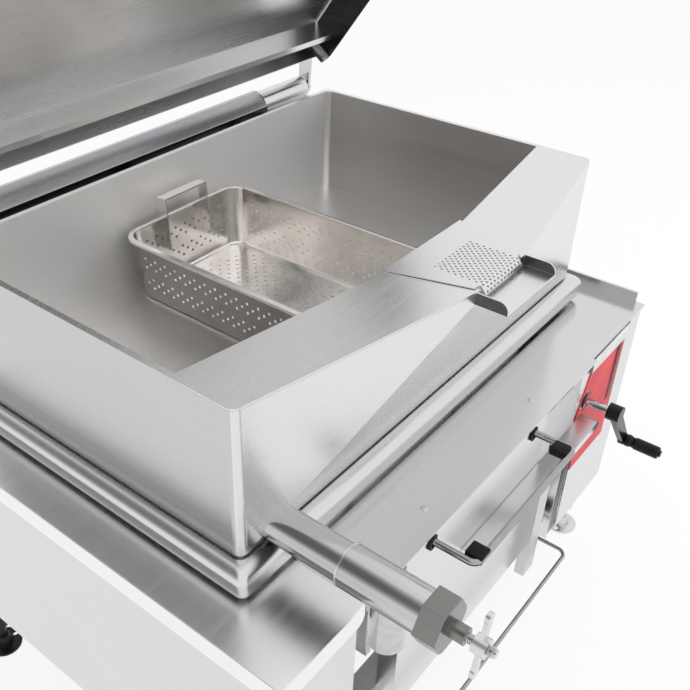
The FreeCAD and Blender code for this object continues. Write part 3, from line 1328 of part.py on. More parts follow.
def lid_handle():
    y = LID_FRONT - LID_HANDLE_STAND
    z = LID_LOW + LID_H * 0.55
    r = LID_HANDLE_R
    bar = rod_x(-LID_HANDLE_HALF, LID_HANDLE_HALF, y, z, r)
    posts = [rod_y(x, y, LID_FRONT, z, r * 0.8) for x in (-LID_HANDLE_HALF + LID_POST_IN, LID_HANDLE_HALF - LID_POST_IN)]
    return opened(join([bar] + posts))


def nodes():
    return {
        "pan_shell": pan_shell(),
        "pour_lip": pour_lip(),
        "strainer": strainer(),
        "pan_skirt": skirt(),
        "base_cover": base_cover(),
        "insulation": insulation(),
        "heating_elements": heating_elements(),
        "element_clamps": element_clamps(),
        "hinge_arm": hinge_arm(ARM_LEFT_X),
        "tilt_quadrant": tilt_quadrant(),
        "pivot_pins": pivot_pins(),
        "pivot_blocks": pivot_blocks(),
        "pinion_shaft": pinion_shaft(),
        "worm_wheel": worm_wheel(),
        "worm": worm(),
        "gear_carrier": gear_carrier(),
        "crank_bushing": crank_bushing(),
        "crank_shaft": crank_shaft(),
        "crank_arm": crank_arm(),
        "crank_grip": crank_grip(),
        "left_deck": left_deck(),
        "apron": apron(),
        "right_deck": right_deck(),
        "rear_deck": rear_deck(),
        "pan_rests": pan_rests(),
        "left_cabinet": left_cabinet(),
        "console_shell": console_shell(),
        "console_inner_panel": console_inner_panel(),
        "rear_panel": rear_panel(),
        "front_panel": front_panel(),
        "red_panel": red_panel(),
        "name_plate": name_plate(),
        "front_ledge": front_ledge(),
        "carrier_rods": carrier_rods(),
        "carrier_bumpers": carrier_bumpers(),
        "rod_grommets": rod_grommets(),
        "rod_guides": rod_guides(),
        "wire_carrier": wire_carrier(),
        "clamp_knob": clamp_knob(),
        "guide_channel": guide_channel(),
        "base_frame": base_frame(),
        "feet": feet(),
        "apron_screws": apron_screws(),
        "control_box": control_box(),
        "power_gland": power_gland(),
        "valve_tube": valve_tube(),
        "valve_body": valve_body(),
        "bonnet_nut": bonnet_nut(),
        "valve_plug": valve_plug(),
        "valve_stem": valve_stem(),
        "valve_handle": valve_handle(),
        "basket": basket(),
        "basket_handle": basket_handle(),
        "torsion_tube": torsion_tube(),
        "tube_brackets": tube_brackets(),
        "torsion_bar": torsion_bar(),
        "lid_shell": lid_shell(),
        "drip_strip": drip_strip(),
        "lid_links": lid_links(),
        "lid_handle": lid_handle(),
    }


def model_point(x, y, z):
    # Point of the model frame, in metres.
    return [round(x / 1000, 6), round((y - FEET_MID_Y) / 1000, 6), round(z / 1000, 6)]


def main():
    os.makedirs("parts", exist_ok=True)
    made = nodes()
    for name, shape in made.items():
        placed = shape.copy()
        placed.translate(V(0, -FEET_MID_Y, 0))
        placed.exportStep(os.path.join("parts", name + ".step"))
    print(len(made), "nodes")


main()
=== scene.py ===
import json
import math

import bmesh
import bpy
from mathutils import Matrix, Vector
from mathutils.geometry import delaunay_2d_cdt


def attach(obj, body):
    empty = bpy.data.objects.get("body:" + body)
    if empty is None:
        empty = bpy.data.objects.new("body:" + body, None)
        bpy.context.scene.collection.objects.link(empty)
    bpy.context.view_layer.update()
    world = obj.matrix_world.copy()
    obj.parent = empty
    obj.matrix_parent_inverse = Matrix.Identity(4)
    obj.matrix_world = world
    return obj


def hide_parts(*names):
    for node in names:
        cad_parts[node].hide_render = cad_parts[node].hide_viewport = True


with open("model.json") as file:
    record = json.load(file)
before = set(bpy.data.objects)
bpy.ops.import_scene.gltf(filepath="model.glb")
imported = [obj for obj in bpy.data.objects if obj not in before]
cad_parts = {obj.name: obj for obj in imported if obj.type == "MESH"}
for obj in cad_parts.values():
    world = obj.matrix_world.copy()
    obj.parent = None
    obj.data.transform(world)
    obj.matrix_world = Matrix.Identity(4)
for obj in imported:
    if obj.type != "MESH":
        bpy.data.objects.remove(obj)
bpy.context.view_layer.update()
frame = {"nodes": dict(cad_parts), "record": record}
NODES = frame["nodes"]
RECORD = frame["record"]

# The solids' own lengths in millimetres have y measured from the pan's front wall.
ORIGIN_Y = 289.0
BODY_OF = {n: body for body, listed in RECORD["behaviour"]["bodies"].items() for n in listed}


def mm(x, y, z):
    """Point given in the solids' own millimetres, in the frame's metres."""
    return Vector((x, y - ORIGIN_Y, z)) / 1000.0


def srgb(value):
    """Picture value from 0 to 255 as a linear shader value."""
    c = value / 255.0
    return c / 12.92 if c <= 0.04045 else ((c + 0.055) / 1.055) ** 2.4


def grey(value, warm=0.0):
    """Grey shader colour, made warmer or, below zero, colder by a small share."""
    v = srgb(value)
    return (v * (1 + warm), v, v * (1 - warm), 1.0)


def rgb(r, g, b):
    return (srgb(r), srgb(g), srgb(b), 1.0)


class Shader:
    """Short way to build one node material."""

    def __init__(self, name):
        self.material = bpy.data.materials.new(name)
        self.material.use_nodes = True
        self.tree = self.material.node_tree
        self.bsdf = self.tree.nodes["Principled BSDF"]
        self.coordinates = self.tree.nodes.new("ShaderNodeTexCoord")

    def node(self, kind, **settings):
        made = self.tree.nodes.new(kind)
        for key, value in settings.items():
            setattr(made, key, value)
        return made

    def link(self, a, b):
        self.tree.links.new(a, b)

    def stretched(self, scale):
        mapping = self.node("ShaderNodeMapping")
        mapping.inputs["Scale"].default_value = scale
        self.link(self.coordinates.outputs["Object"], mapping.inputs["Vector"])
        return mapping.outputs["Vector"]

    def noise(self, scale, detail=2.0, size=1.0, rough=0.5):
        texture = self.node("ShaderNodeTexNoise")
        texture.inputs["Scale"].default_value = size
        texture.inputs["Detail"].default_value = detail
        texture.inputs["Roughness"].default_value = rough
        self.link(self.stretched(scale), texture.inputs["Vector"])
        return texture.outputs["Fac"]

    def remap(self, value, low, high, start=0.3, end=0.7):
        ranged = self.node("ShaderNodeMapRange")
        ranged.inputs["From Min"].default_value = start
        ranged.inputs["From Max"].default_value = end
        ranged.inputs["To Min"].default_value = low
        ranged.inputs["To Max"].default_value = high
        self.link(value, ranged.inputs["Value"])
        return ranged.outputs["Result"]

    def ramp(self, value, stops):
        ramp = self.node("ShaderNodeValToRGB")
        elements = ramp.color_ramp.elements
        while len(elements) < len(stops):
            elements.new(0.5)
        for element, (position, colour) in zip(elements, stops):
            element.position = position
            element.color = colour
        self.link(value, ramp.inputs["Fac"])
        return ramp.outputs["Color"]

    def mix(self, factor, a, b):
        mixer = self.node("ShaderNodeMix", data_type="RGBA")
        for socket, value in ((mixer.inputs["Factor"], factor), (mixer.inputs[6], a), (mixer.inputs[7], b)):
            if isinstance(value, bpy.types.NodeSocket):
                self.link(value, socket)
            else:
                socket.default_value = value
        return mixer.outputs[2]

    def bump(self, height, strength, distance):
        """Bump map that feeds the surface's normal."""
        bump = self.node("ShaderNodeBump")
        bump.inputs["Strength"].default_value = strength
        bump.inputs["Distance"].default_value = distance
        self.link(height, bump.inputs["Height"])
        self.link(bump.outputs["Normal"], self.bsdf.inputs["Normal"])

    def set(self, **values):
        """Give the surface's sockets constants or links, with _ for the spaces in their names."""
        for key, value in values.items():
            socket = self.bsdf.inputs[key.replace("_", " ")]
            if isinstance(value, bpy.types.NodeSocket):
                self.link(value, socket)
            else:
                socket.default_value = value


# Noise scales along each axis for the fine grain and the long streaks of brushed steel, and for
# each grain axis the face normal that it can't run along, with the axis used there instead
GRAIN = {"x": (8.0, 1500.0, 1500.0), "y": (1500.0, 8.0, 1500.0), "z": (1500.0, 1500.0, 8.0)}
STREAK = {"x": (1.4, 70.0, 70.0), "y": (70.0, 1.4, 70.0), "z": (70.0, 70.0, 1.4)}
ACROSS = {"x": ("X", "y"), "y": ("Y", "x"), "z": ("Z", "x")}
BUMP_DEPTH = 0.0001


def along_faces(s, table, axis, detail):
    """Stretched noise that also runs along the faces that stand square to its own axis."""
    first = s.noise(table[axis], detail=detail)
    part, other = ACROSS[axis]
    second = s.noise(table[other], detail=detail)
    split = s.node("ShaderNodeSeparateXYZ")
    s.link(s.coordinates.outputs["Normal"], split.inputs["Vector"])
    size = s.node("ShaderNodeMath", operation="ABSOLUTE")
    s.link(split.outputs[part], size.inputs[0])
    facing = s.node("ShaderNodeMath", operation="GREATER_THAN")
    s.link(size.outputs["Value"], facing.inputs[0])
    facing.inputs[1].default_value = 0.7
    mixer = s.node("ShaderNodeMix", data_type="FLOAT")
    s.link(facing.outputs["Value"], mixer.inputs[0])
    s.link(first, mixer.inputs[2])
    s.link(second, mixer.inputs[3])
    return mixer.outputs[0]


def brushed(name, tone, axis="x", rough=(0.22, 0.27), warm=0.0, spread=2, strength=0.004, metal=1.0):
    """Brushed stainless steel: fine grain along one axis, long faint streaks and cloudy tone."""
    s = Shader(name)
    grain = along_faces(s, GRAIN, axis, 2.0)
    streak = along_faces(s, STREAK, axis, 3.0)
    cloud = s.noise((3.0, 3.0, 3.0), detail=3.0)
    low = grey(tone - spread, warm)
    high = grey(tone + spread, warm)
    tint = s.ramp(cloud, [(0.35, low), (0.65, high)])
    fine = s.ramp(streak, [(0.30, low), (0.70, high)])
    s.set(Base_Color=s.mix(0.5, tint, fine), Metallic=metal)
    s.set(Roughness=s.remap(streak, rough[0], rough[1]))
    s.bump(grain, strength, BUMP_DEPTH)
    return s.material


def polished(name, tone, rough=(0.06, 0.12), warm=0.0):
    """Smooth steel or bronze with faint smears."""
    s = Shader(name)
    smear = s.noise((25.0, 25.0, 25.0), detail=4.0)
    tint = s.ramp(smear, [(0.3, grey(tone - 6, warm)), (0.7, grey(tone + 5, warm))])
    s.set(Base_Color=tint, Metallic=1.0)
    s.set(Roughness=s.remap(smear, rough[0], rough[1]))
    return s.material


def moulded(name, colour, rough=(0.38, 0.52), pebble=900.0, gloss=0.5):
    """Black or coloured moulded plastic or enamel with a fine pebble."""
    s = Shader(name)
    s.bsdf.inputs["Specular IOR Level"].default_value = gloss
    grain = s.noise((pebble, pebble, pebble), detail=2.0)
    cloud = s.noise((12.0, 12.0, 12.0), detail=2.0)
    dark = tuple(c * 0.88 for c in colour[:3]) + (1.0,)
    light = tuple(min(1.0, c * 1.10 + 0.002) for c in colour[:3]) + (1.0,)
    s.set(Base_Color=s.ramp(cloud, [(0.35, dark), (0.65, light)]), Metallic=0.0)
    s.set(Roughness=s.remap(grain, rough[0], rough[1]))
    s.bump(grain, 0.12, BUMP_DEPTH)
    return s.material


MATERIALS = {
    "outside_x": brushed("steel_outside_x", 222, "x"),
    "outside_y": brushed("steel_outside_y", 222, "y"),
    "channel": brushed("steel_channel", 200, "z"),
    "deck": brushed("steel_deck", 216, "x", (0.16, 0.20)),
    "deck_left": brushed("steel_deck_left", 246, "x", (0.28, 0.33)),
    "cabinet": brushed("steel_cabinet", 222, "y", (0.24, 0.32), -0.004),
    "pan": brushed("steel_pan", 228, "x", (0.25, 0.29)),
    "inside": brushed("steel_inside", 250, "x", (0.36, 0.42), 0.012),
    # Darker copy of the inner steel, painted shade on the pan's inner right end wall
    "inside_end_painted_shade": brushed("steel_inside_end", 200, "x", (0.36, 0.42), 0.02),
    # Lit copy of the inner steel, part diffuse so that the lamps brighten it, painted light on the pan's inner
    # rear wall
    "inside_rear_lit_copy": brushed("steel_inside_rear", 238, "x", (0.46, 0.54), 0.012, metal=0.6),
    # Darker copy of the pan steel, painted shade on the pan's outer left faces
    "pan_left_painted_shade": brushed("steel_pan_left", 204, "y", (0.25, 0.29)),
    "lid": brushed("steel_lid", 224, "x", (0.24, 0.28), 0.004),
    "tube": brushed("steel_tube", 196, "x", (0.24, 0.30), -0.03),
    # Dark copy of the brushed steel, used as painted shade and painted reflection on chosen faces
    "dark": brushed("steel_painted_shade", 70, "x", (0.22, 0.30)),
    # Darker copy of the pan steel, painted shade on the side faces of the spout's lip
    "cheek_painted_shade": brushed("steel_cheek", 112, "y", (0.26, 0.34)),
    "basket": polished("steel_basket", 242, (0.16, 0.22), 0.03),
    # Darker copy of the basket steel, painted shade on the basket's outward long sides
    "basket_out_painted_shade": polished("steel_basket_out", 158, (0.18, 0.26), 0.06),
    "polished": polished("steel_polished", 206),
    "rod": polished("steel_rod", 172),
    "chrome": brushed("steel_valve", 196, "y", (0.10, 0.18), 0.012, 16, 0.02),
    "satin": polished("steel_satin", 218, (0.18, 0.28)),
    "taupe": polished("steel_nut", 134, (0.22, 0.30), 0.035),
    "frame": brushed("steel_frame", 190, "x", (0.32, 0.44)),
    "gear": brushed("steel_gear", 112, "x", (0.30, 0.42)),
    "bronze": polished("bronze", 160, (0.22, 0.34), 0.25),
    "black": moulded("black_plastic", (0.008, 0.008, 0.009), (0.26, 0.36), 900.0, 0.22),
    "enamel": moulded("black_enamel", (0.006, 0.006, 0.007), (0.20, 0.30), 500.0, 0.25),
    "gloss": moulded("black_gloss", (0.004, 0.004, 0.005), (0.08, 0.14), 300.0, 0.15),
    "red": moulded("red_face", rgb(222, 44, 58), (0.34, 0.42), 600.0, 0.18),
    "red_dark": moulded("red_edge", rgb(150, 26, 38), (0.30, 0.38), 600.0, 0.2),
    "plate": moulded("plate_white", (0.80, 0.81, 0.82), (0.28, 0.36), 800.0),
    "grey": moulded("box_grey", (0.55, 0.56, 0.57), (0.32, 0.42), 800.0),
    "rubber": moulded("rubber", (0.010, 0.010, 0.010), (0.45, 0.58), 700.0, 0.15),
    "wool": moulded("mineral_wool", (0.62, 0.56, 0.40), (0.80, 0.95), 260.0),
}


def painted_reflection_below(material, tone):
    """Painted reflection: darken the sides that face down, standing in for the gap below that a round tube
    mirrors.
    """
    tree = material.node_tree
    colour = tree.nodes["Principled BSDF"].inputs["Base Color"]
    plain = colour.links[0].from_socket
    split = tree.nodes.new("ShaderNodeSeparateXYZ")
    tree.links.new(tree.nodes["Texture Coordinate"].outputs["Normal"], split.inputs["Vector"])
    share = tree.nodes.new("ShaderNodeMapRange")
    share.inputs["From Min"].default_value = -0.42
    share.inputs["From Max"].default_value = -0.04
    share.inputs["To Min"].default_value = 1.0
    share.inputs["To Max"].default_value = 0.0
    tree.links.new(split.outputs["Z"], share.inputs["Value"])
    mixer = tree.nodes.new("ShaderNodeMix")
    mixer.data_type = "RGBA"
    tree.links.new(share.outputs["Result"], mixer.inputs["Factor"])
    tree.links.new(plain, mixer.inputs[6])
    mixer.inputs[7].default_value = grey(tone)
    tree.links.new(mixer.outputs[2], colour)


# Painted reflection on the valve's chrome: its down-facing sides are darkened
painted_reflection_below(MATERIALS["chrome"], 62)

# Which nodes wear each look
NODE_LOOK = {
    "outside_x": "pan_skirt base_cover rear_deck front_panel front_ledge rear_panel tube_brackets",
    "outside_y": "console_inner_panel",
    "deck": "apron right_deck",
    "deck_left": "left_deck",
    "cabinet": "left_cabinet console_shell",
    "pan": "pan_shell pour_lip strainer",
    "lid": "lid_shell drip_strip",
    "tube": "torsion_tube",
    "basket": "basket basket_handle",
    "channel": "guide_channel",
    "rod": "carrier_rods wire_carrier",
    "polished": "valve_stem valve_plug apron_screws lid_links lid_handle crank_shaft",
    "chrome": "valve_tube valve_body",
    "satin": "valve_handle",
    "taupe": "bonnet_nut",
    "frame": "base_frame hinge_arm tilt_quadrant pivot_blocks gear_carrier rod_guides element_clamps",
    "gear": "pinion_shaft worm pivot_pins torsion_bar heating_elements",
    "bronze": "worm_wheel crank_bushing",
    "black": "feet power_gland crank_grip clamp_knob",
    "enamel": "crank_arm",
    "red": "red_panel",
    "plate": "name_plate",
    "grey": "control_box",
    "rubber": "pan_rests rod_grommets carrier_bumpers",
    "wool": "insulation",
}
LOOK_OF = {n: look for look, listed in NODE_LOOK.items() for n in listed.split()}


def dress(obj, material):
    """Give an object this one material."""
    obj.data.materials.clear()
    obj.data.materials.append(material)


for node_name, look in LOOK_OF.items():
    dress(NODES[node_name], MATERIALS[look])


def add_piece(name, mesh, node_name, look=None, replaces=True):
    """A new piece that rides with one node's body and takes that node's place or joins it."""
    piece = bpy.data.objects.new(name, mesh)
    bpy.context.scene.collection.objects.link(piece)
    dress(piece, MATERIALS[look or LOOK_OF[node_name]])
    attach(piece, BODY_OF[node_name])
    if replaces:
        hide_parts(node_name)
    return piece


def smooth_mesh(bm, name, angle=40):
    """Turn a bmesh into a smooth-shaded mesh that stays sharp above an angle in degrees."""
    mesh = bpy.data.meshes.new(name)
    bmesh.ops.recalc_face_normals(bm, faces=bm.faces)
    for face in bm.faces:
        face.smooth = True
    bm.to_mesh(mesh)
    bm.free()
    mesh.set_sharp_from_angle(angle=math.radians(angle))
    return mesh


def bridge(bm, loops):
    """Join closed loops of vertices one after the other, and the last one to the first."""
    for a in range(len(loops)):
        b = (a + 1) % len(loops)
        for k in range(len(loops[a])):
            n = (k + 1) % len(loops[a])
            bm.faces.new([loops[a][k], loops[a][n], loops[b][n], loops[b][k]])


def keep_flat(mesh, angle=50):
    """Corner normals weighted by face area, so that large flat faces stay flat beside rounded edges."""
    around = [[] for _ in mesh.vertices]
    for face in mesh.polygons:
        for v in face.vertices:
            around[v].append(face)
    limit = math.cos(math.radians(angle))
    normals = []
    for face in mesh.polygons:
        for v in face.vertices:
            total = Vector((0.0, 0.0, 0.0))
            for other in around[v]:
                if other.normal.dot(face.normal) > limit:
                    total += other.normal * other.area
            normals.append(total.normalized() if total.length else face.normal.copy())
    mesh.normals_split_custom_set(normals)


def softened(node_name, width):
    """Copy of a CAD node with its sharp edges rounded by a width in metres, standing for that node."""
    bm = bmesh.new()
    bm.from_mesh(NODES[node_name].data)
    bmesh.ops.remove_doubles(bm, verts=bm.verts, dist=0.00002)
    bmesh.ops.dissolve_limit(bm, angle_limit=math.radians(0.6), verts=bm.verts, edges=bm.edges)
    sharp = [e for e in bm.edges if len(e.link_faces) == 2 and e.calc_face_angle(0) > math.radians(38)]
    bmesh.ops.bevel(bm, geom=sharp, offset=width, segments=2, profile=0.5, affect="EDGES",
                    clamp_overlap=True)
    mesh = smooth_mesh(bm, node_name + "_soft", 50)
    keep_flat(mesh)
    return add_piece(node_name + "_soft", mesh, node_name)


# Camera at the photograph's angle, fitted to the pan's edges; the picture is cut off-centre
CAMERA_AT = Vector((-1.0911, -0.8635, 1.5960))
AZIMUTH = math.radians(51.13)
DOWN = math.radians(34.25)
ROLL = math.radians(0.53)
FOCAL_PX = 891.4
FRAME_PX = 690.0
CENTRE_PX = 300.0
SENSOR = 36.0

forward = Vector((math.sin(AZIMUTH) * math.cos(DOWN), math.cos(AZIMUTH) * math.cos(DOWN), -math.sin(DOWN)))
side = forward.cross(Vector((0, 0, 1))).normalized()
up = side.cross(forward)
basis = Matrix((side, up, -forward)).transposed()
basis = Matrix.Rotation(ROLL, 3, -forward) @ basis
camera_data = bpy.data.cameras.new("camera")
camera_data.sensor_width = SENSOR
camera_data.lens = FOCAL_PX / FRAME_PX * SENSOR
camera_data.shift_x = (FRAME_PX / 2 - CENTRE_PX) / FRAME_PX
camera_data.clip_end = 60.0
camera = bpy.data.objects.new("camera", camera_data)
camera.matrix_world = Matrix.Translation(CAMERA_AT) @ basis.to_4x4()
bpy.context.scene.collection.objects.link(camera)
bpy.context.scene.camera = camera


def area(name, at, aim, size, power):
    """Rectangular lamp that metal doesn't mirror."""
    lamp = bpy.data.lights.new(name, "AREA")
    lamp.shape = "RECTANGLE"
    lamp.size, lamp.size_y = size
    lamp.energy = power
    obj = bpy.data.objects.new(name, lamp)
    obj.location = at
    obj.rotation_euler = (Vector(aim) - Vector(at)).to_track_quat("-Z", "Y").to_euler()
    obj.visible_glossy = False
    bpy.context.scene.collection.objects.link(obj)


area("key", (0.2, -1.6, 4.2), (0.0, 0.0, 0.8), (3.4, 2.2), 46)
area("side", (3.0, -2.3, 3.0), (0.2, 0.0, 0.8), (2.6, 2.6), 44)
area("left", (-4.0, 1.0, 2.4), (0.0, 0.0, 0.8), (2.0, 2.6), 18)


def build_world():
    """White studio: soft light on the object, white for the camera, near white for reflections."""
    world = bpy.data.worlds.new("studio")
    bpy.context.scene.world = world
    world.use_nodes = True
    tree = world.node_tree
    nodes = tree.nodes
    out = nodes["World Output"]
    plain = nodes["Background"]
    plain.inputs["Color"].default_value = (1, 1, 1, 1)
    plain.inputs["Strength"].default_value = 0.72
    white = nodes.new("ShaderNodeBackground")
    white.inputs["Color"].default_value = (1, 1, 1, 1)
    path = nodes.new("ShaderNodeLightPath")
    # Metal sees the same white backdrop, a little greyer low down behind the object.
    coordinates = nodes.new("ShaderNodeTexCoord")
    split = nodes.new("ShaderNodeSeparateXYZ")
    tree.links.new(coordinates.outputs["Generated"], split.inputs["Vector"])
    ramp = nodes.new("ShaderNodeValToRGB")
    stops = [(0.0, 1.0), (0.50, 1.0), (0.78, 0.97), (1.0, 1.0)]
    elements = ramp.color_ramp.elements
    while len(elements) < len(stops):
        elements.new(0.5)
    for element, (position, tone) in zip(elements, stops):
        element.position = position
        element.color = (tone, tone, tone, 1.0)
    shift = nodes.new("ShaderNodeMapRange")
    shift.inputs["From Min"].default_value = -1.0
    shift.inputs["From Max"].default_value = 1.0
    tree.links.new(split.outputs["Z"], shift.inputs["Value"])
    tree.links.new(shift.outputs["Result"], ramp.inputs["Fac"])
    # One soft grey flag stands high on the left behind the object, so round parts show their shape.
    flag = nodes.new("ShaderNodeVectorMath")
    flag.operation = "DOT_PRODUCT"
    tree.links.new(coordinates.outputs["Generated"], flag.inputs[0])
    flag.inputs[1].default_value = Vector((-0.563, 0.519, 0.643)).normalized()
    shade = nodes.new("ShaderNodeMapRange")
    shade.inputs["From Min"].default_value = 0.80
    shade.inputs["From Max"].default_value = 0.97
    shade.inputs["To Min"].default_value = 1.0
    shade.inputs["To Max"].default_value = 0.20
    tree.links.new(flag.outputs["Value"], shade.inputs["Value"])
    mirror = nodes.new("ShaderNodeBackground")
    tree.links.new(ramp.outputs["Color"], mirror.inputs["Color"])
    tree.links.new(shade.outputs["Result"], mirror.inputs["Strength"])
    first = nodes.new("ShaderNodeMixShader")
    tree.links.new(path.outputs["Is Glossy Ray"], first.inputs["Fac"])
    tree.links.new(plain.outputs["Background"], first.inputs[1])
    tree.links.new(mirror.outputs["Background"], first.inputs[2])
    either = nodes.new("ShaderNodeMath")
    either.operation = "MAXIMUM"
    tree.links.new(path.outputs["Is Camera Ray"], either.inputs[0])
    tree.links.new(path.outputs["Is Transmission Ray"], either.inputs[1])
    second = nodes.new("ShaderNodeMixShader")
    tree.links.new(either.outputs["Value"], second.inputs["Fac"])
    tree.links.new(first.outputs["Shader"], second.inputs[1])
    tree.links.new(white.outputs["Background"], second.inputs[2])
    tree.links.new(second.outputs["Shader"], out.inputs["Surface"])


build_world()


def build_floor():
    """Pale floor that keeps the object's shadow and is near white for camera and reflections."""
    mesh = bpy.data.meshes.new("floor")
    half = 14.0
    corners = [(-half, -half, 0), (half, -half, 0), (half, half, 0), (-half, half, 0)]
    mesh.from_pydata(corners, [], [(0, 1, 2, 3)])
    floor = bpy.data.objects.new("floor", mesh)
    bpy.context.scene.collection.objects.link(floor)
    s = Shader("pale_floor")
    s.set(Base_Color=(0.93, 0.93, 0.93, 1.0), Roughness=0.9)
    s.bsdf.inputs["Specular IOR Level"].default_value = 0.0
    glow = s.node("ShaderNodeEmission")
    glow.inputs["Color"].default_value = (1, 1, 1, 1)
    path = s.node("ShaderNodeLightPath")
    seen = s.node("ShaderNodeMath", operation="MAXIMUM")
    s.link(path.outputs["Is Camera Ray"], seen.inputs[0])
    s.link(path.outputs["Is Glossy Ray"], seen.inputs[1])
    also = s.node("ShaderNodeMath", operation="MAXIMUM")
    s.link(seen.outputs["Value"], also.inputs[0])
    s.link(path.outputs["Is Transmission Ray"], also.inputs[1])
    share = s.node("ShaderNodeMath", operation="MULTIPLY")
    share.inputs[1].default_value = 0.86
    s.link(also.outputs["Value"], share.inputs[0])
    mix = s.node("ShaderNodeMixShader")
    s.link(share.outputs["Value"], mix.inputs["Fac"])
    s.link(s.bsdf.outputs["BSDF"], mix.inputs[1])
    s.link(glow.outputs["Emission"], mix.inputs[2])
    s.link(mix.outputs["Shader"], s.tree.nodes["Material Output"].inputs["Surface"])
    dress(floor, s.material)


build_floor()
bpy.context.scene.view_settings.view_transform = "Standard"


def rounded_loop(half, front, back, r, steps):
    """Corner points of a rounded rectangle, with the straight runs left as single edges."""
    points = []
    corners = ((half - r, back - r, 0), (-half + r, back - r, 90), (-half + r, front + r, 180),
               (half - r, front + r, 270))
    for cx, cy, start in corners:
        for k in range(steps + 1):
            a = math.radians(start + 90.0 * k / steps)
            points.append((cx + r * math.cos(a), cy + r * math.sin(a)))
    return points


def staggered(rows, first, last, pitch):
    """Hole centres: each row at its own height, every second row shifted by half a pitch."""
    centres = []
    for k, height in enumerate(rows):
        at = first + (pitch / 2 if k % 2 else 0.0)
        while at < last + 0.01:
            centres.append((at, height))
            at += pitch
    return centres


def holed_faces(bm, outline, centres, radius, place, sides=10):
    """Fill a flat outline with holes left open, and set it in space with place(u, v)."""
    points = [Vector(p) for p in outline]
    edges = [(k, (k + 1) % len(outline)) for k in range(len(outline))]
    for u, v in centres:
        base = len(points)
        for k in range(sides):
            a = 2 * math.pi * k / sides
            points.append(Vector((u + radius * math.cos(a), v + radius * math.sin(a))))
        edges += [(base + k, base + (k + 1) % sides) for k in range(sides)]
    verts, _, faces, _, _, _ = delaunay_2d_cdt(points, edges, [], 1, 1e-5)
    made = [bm.verts.new(place(p[0], p[1])) for p in verts]
    limit = (radius * 0.9) ** 2
    for face in faces:
        u = sum(verts[k][0] for k in face) / len(face)
        v = sum(verts[k][1] for k in face) / len(face)
        if any((u - a) ** 2 + (v - b) ** 2 < limit for a, b in centres):
            continue
        bm.faces.new([made[k] for k in face])


HOLE_R, HOLE_PITCH = 2.7, 25.0


def build_basket():
    """Lift-out basket: perforated walls and floor with rounded corners, and a rolled rim."""
    half, front, back, top, low = 150.0, 101.0, 603.0, 833.0, 711.4
    taper, r, low_r, t, bend, steps = 9.0, 38.0, 34.0, 1.2, 9.0, 8
    wall_low = low + bend
    height = top - wall_low
    bm = bmesh.new()

    def ring(inset, z, radius):
        return [mm(x, y, z) for x, y in rounded_loop(half - inset, front + inset, back - inset, radius, steps)]

    rings = [ring(0.0, top, r), ring(taper, wall_low, low_r)]
    for k in range(1, 5):
        a = math.radians(90.0 * k / 4)
        inset = bend * (1 - math.cos(a))
        rings.append(ring(taper + inset, wall_low - bend * math.sin(a), low_r - inset))
    made = [[bm.verts.new(p) for p in loop] for loop in rings]
    count = len(made[0])
    for row in range(len(made) - 1):
        for k in range(count):
            nxt = (k + 1) % count
            straight = (k + 1) % (steps + 1) == 0
            if row == 0 and straight:
                continue  # the perforated walls come here
            bm.faces.new([made[row][k], made[row][nxt], made[row + 1][nxt], made[row + 1][k]])
    rows = [height - (z - wall_low) for z in (804.0, 794.5, 785.0, 761.0, 751.5, 742.0)]

    def wall(centre, high_half, low_half, run, place):
        outline = [(centre - high_half, 0.0), (centre + high_half, 0.0),
                   (centre + low_half, height), (centre - low_half, height)]
        holes = staggered(rows, centre - run / 2, centre + run / 2, HOLE_PITCH)
        holed_faces(bm, outline, holes, HOLE_R, place)

    mid, reach = (front + back) / 2, (back - front) / 2
    for sign in (-1.0, 1.0):
        wall(mid, reach - r, reach - taper - low_r, 400.0,
             lambda u, v, s=sign: mm(s * (half - taper * v / height), u, top - v))
    for edge, sign in ((front, 1.0), (back, -1.0)):
        wall(0.0, half - r, half - taper - low_r, 200.0,
             lambda u, v, e=edge, s=sign: mm(u, e + s * taper * v / height, top - v))
    floor_in = taper + bend
    outline = rounded_loop(half - floor_in, front + floor_in, back - floor_in, low_r - bend, steps)
    across = [-112.5 + HOLE_PITCH / 2 * k for k in range(19)]
    holes = [(x, y) for y, x in staggered(across, front + 45.0, back - 45.0, HOLE_PITCH)]
    holed_faces(bm, outline, holes, HOLE_R, lambda u, v: mm(u, v, low))
    bmesh.ops.remove_doubles(bm, verts=bm.verts, dist=0.00003)
    bmesh.ops.recalc_face_normals(bm, faces=bm.faces)
    bmesh.ops.solidify(bm, geom=list(bm.faces), thickness=t / 1000.0)
    add_piece("basket_shell", smooth_mesh(bm, "basket_shell", 40), "basket")

    # Rolled rim: a flat flange with a raised inner edge and a turned-down outer edge
    profile = [(-1.3, -6.0), (-1.4, 2.2), (-0.4, 3.6), (1.4, 3.9), (3.0, 2.9), (6.0, 2.6), (8.0, 2.0),
               (9.0, 0.4), (9.0, -2.6), (8.0, -3.2), (7.6, -0.6), (2.0, 0.4), (0.2, 0.0), (0.0, -6.0)]
    bm = bmesh.new()
    loops = []
    for out, rise in profile:
        loop = rounded_loop(half + out, front - out, back + out, r + out, 12)
        loops.append([bm.verts.new(mm(x, y, top + rise)) for x, y in loop])
    bridge(bm, loops)
    add_piece("basket_rim", smooth_mesh(bm, "basket_rim", 50), "basket")


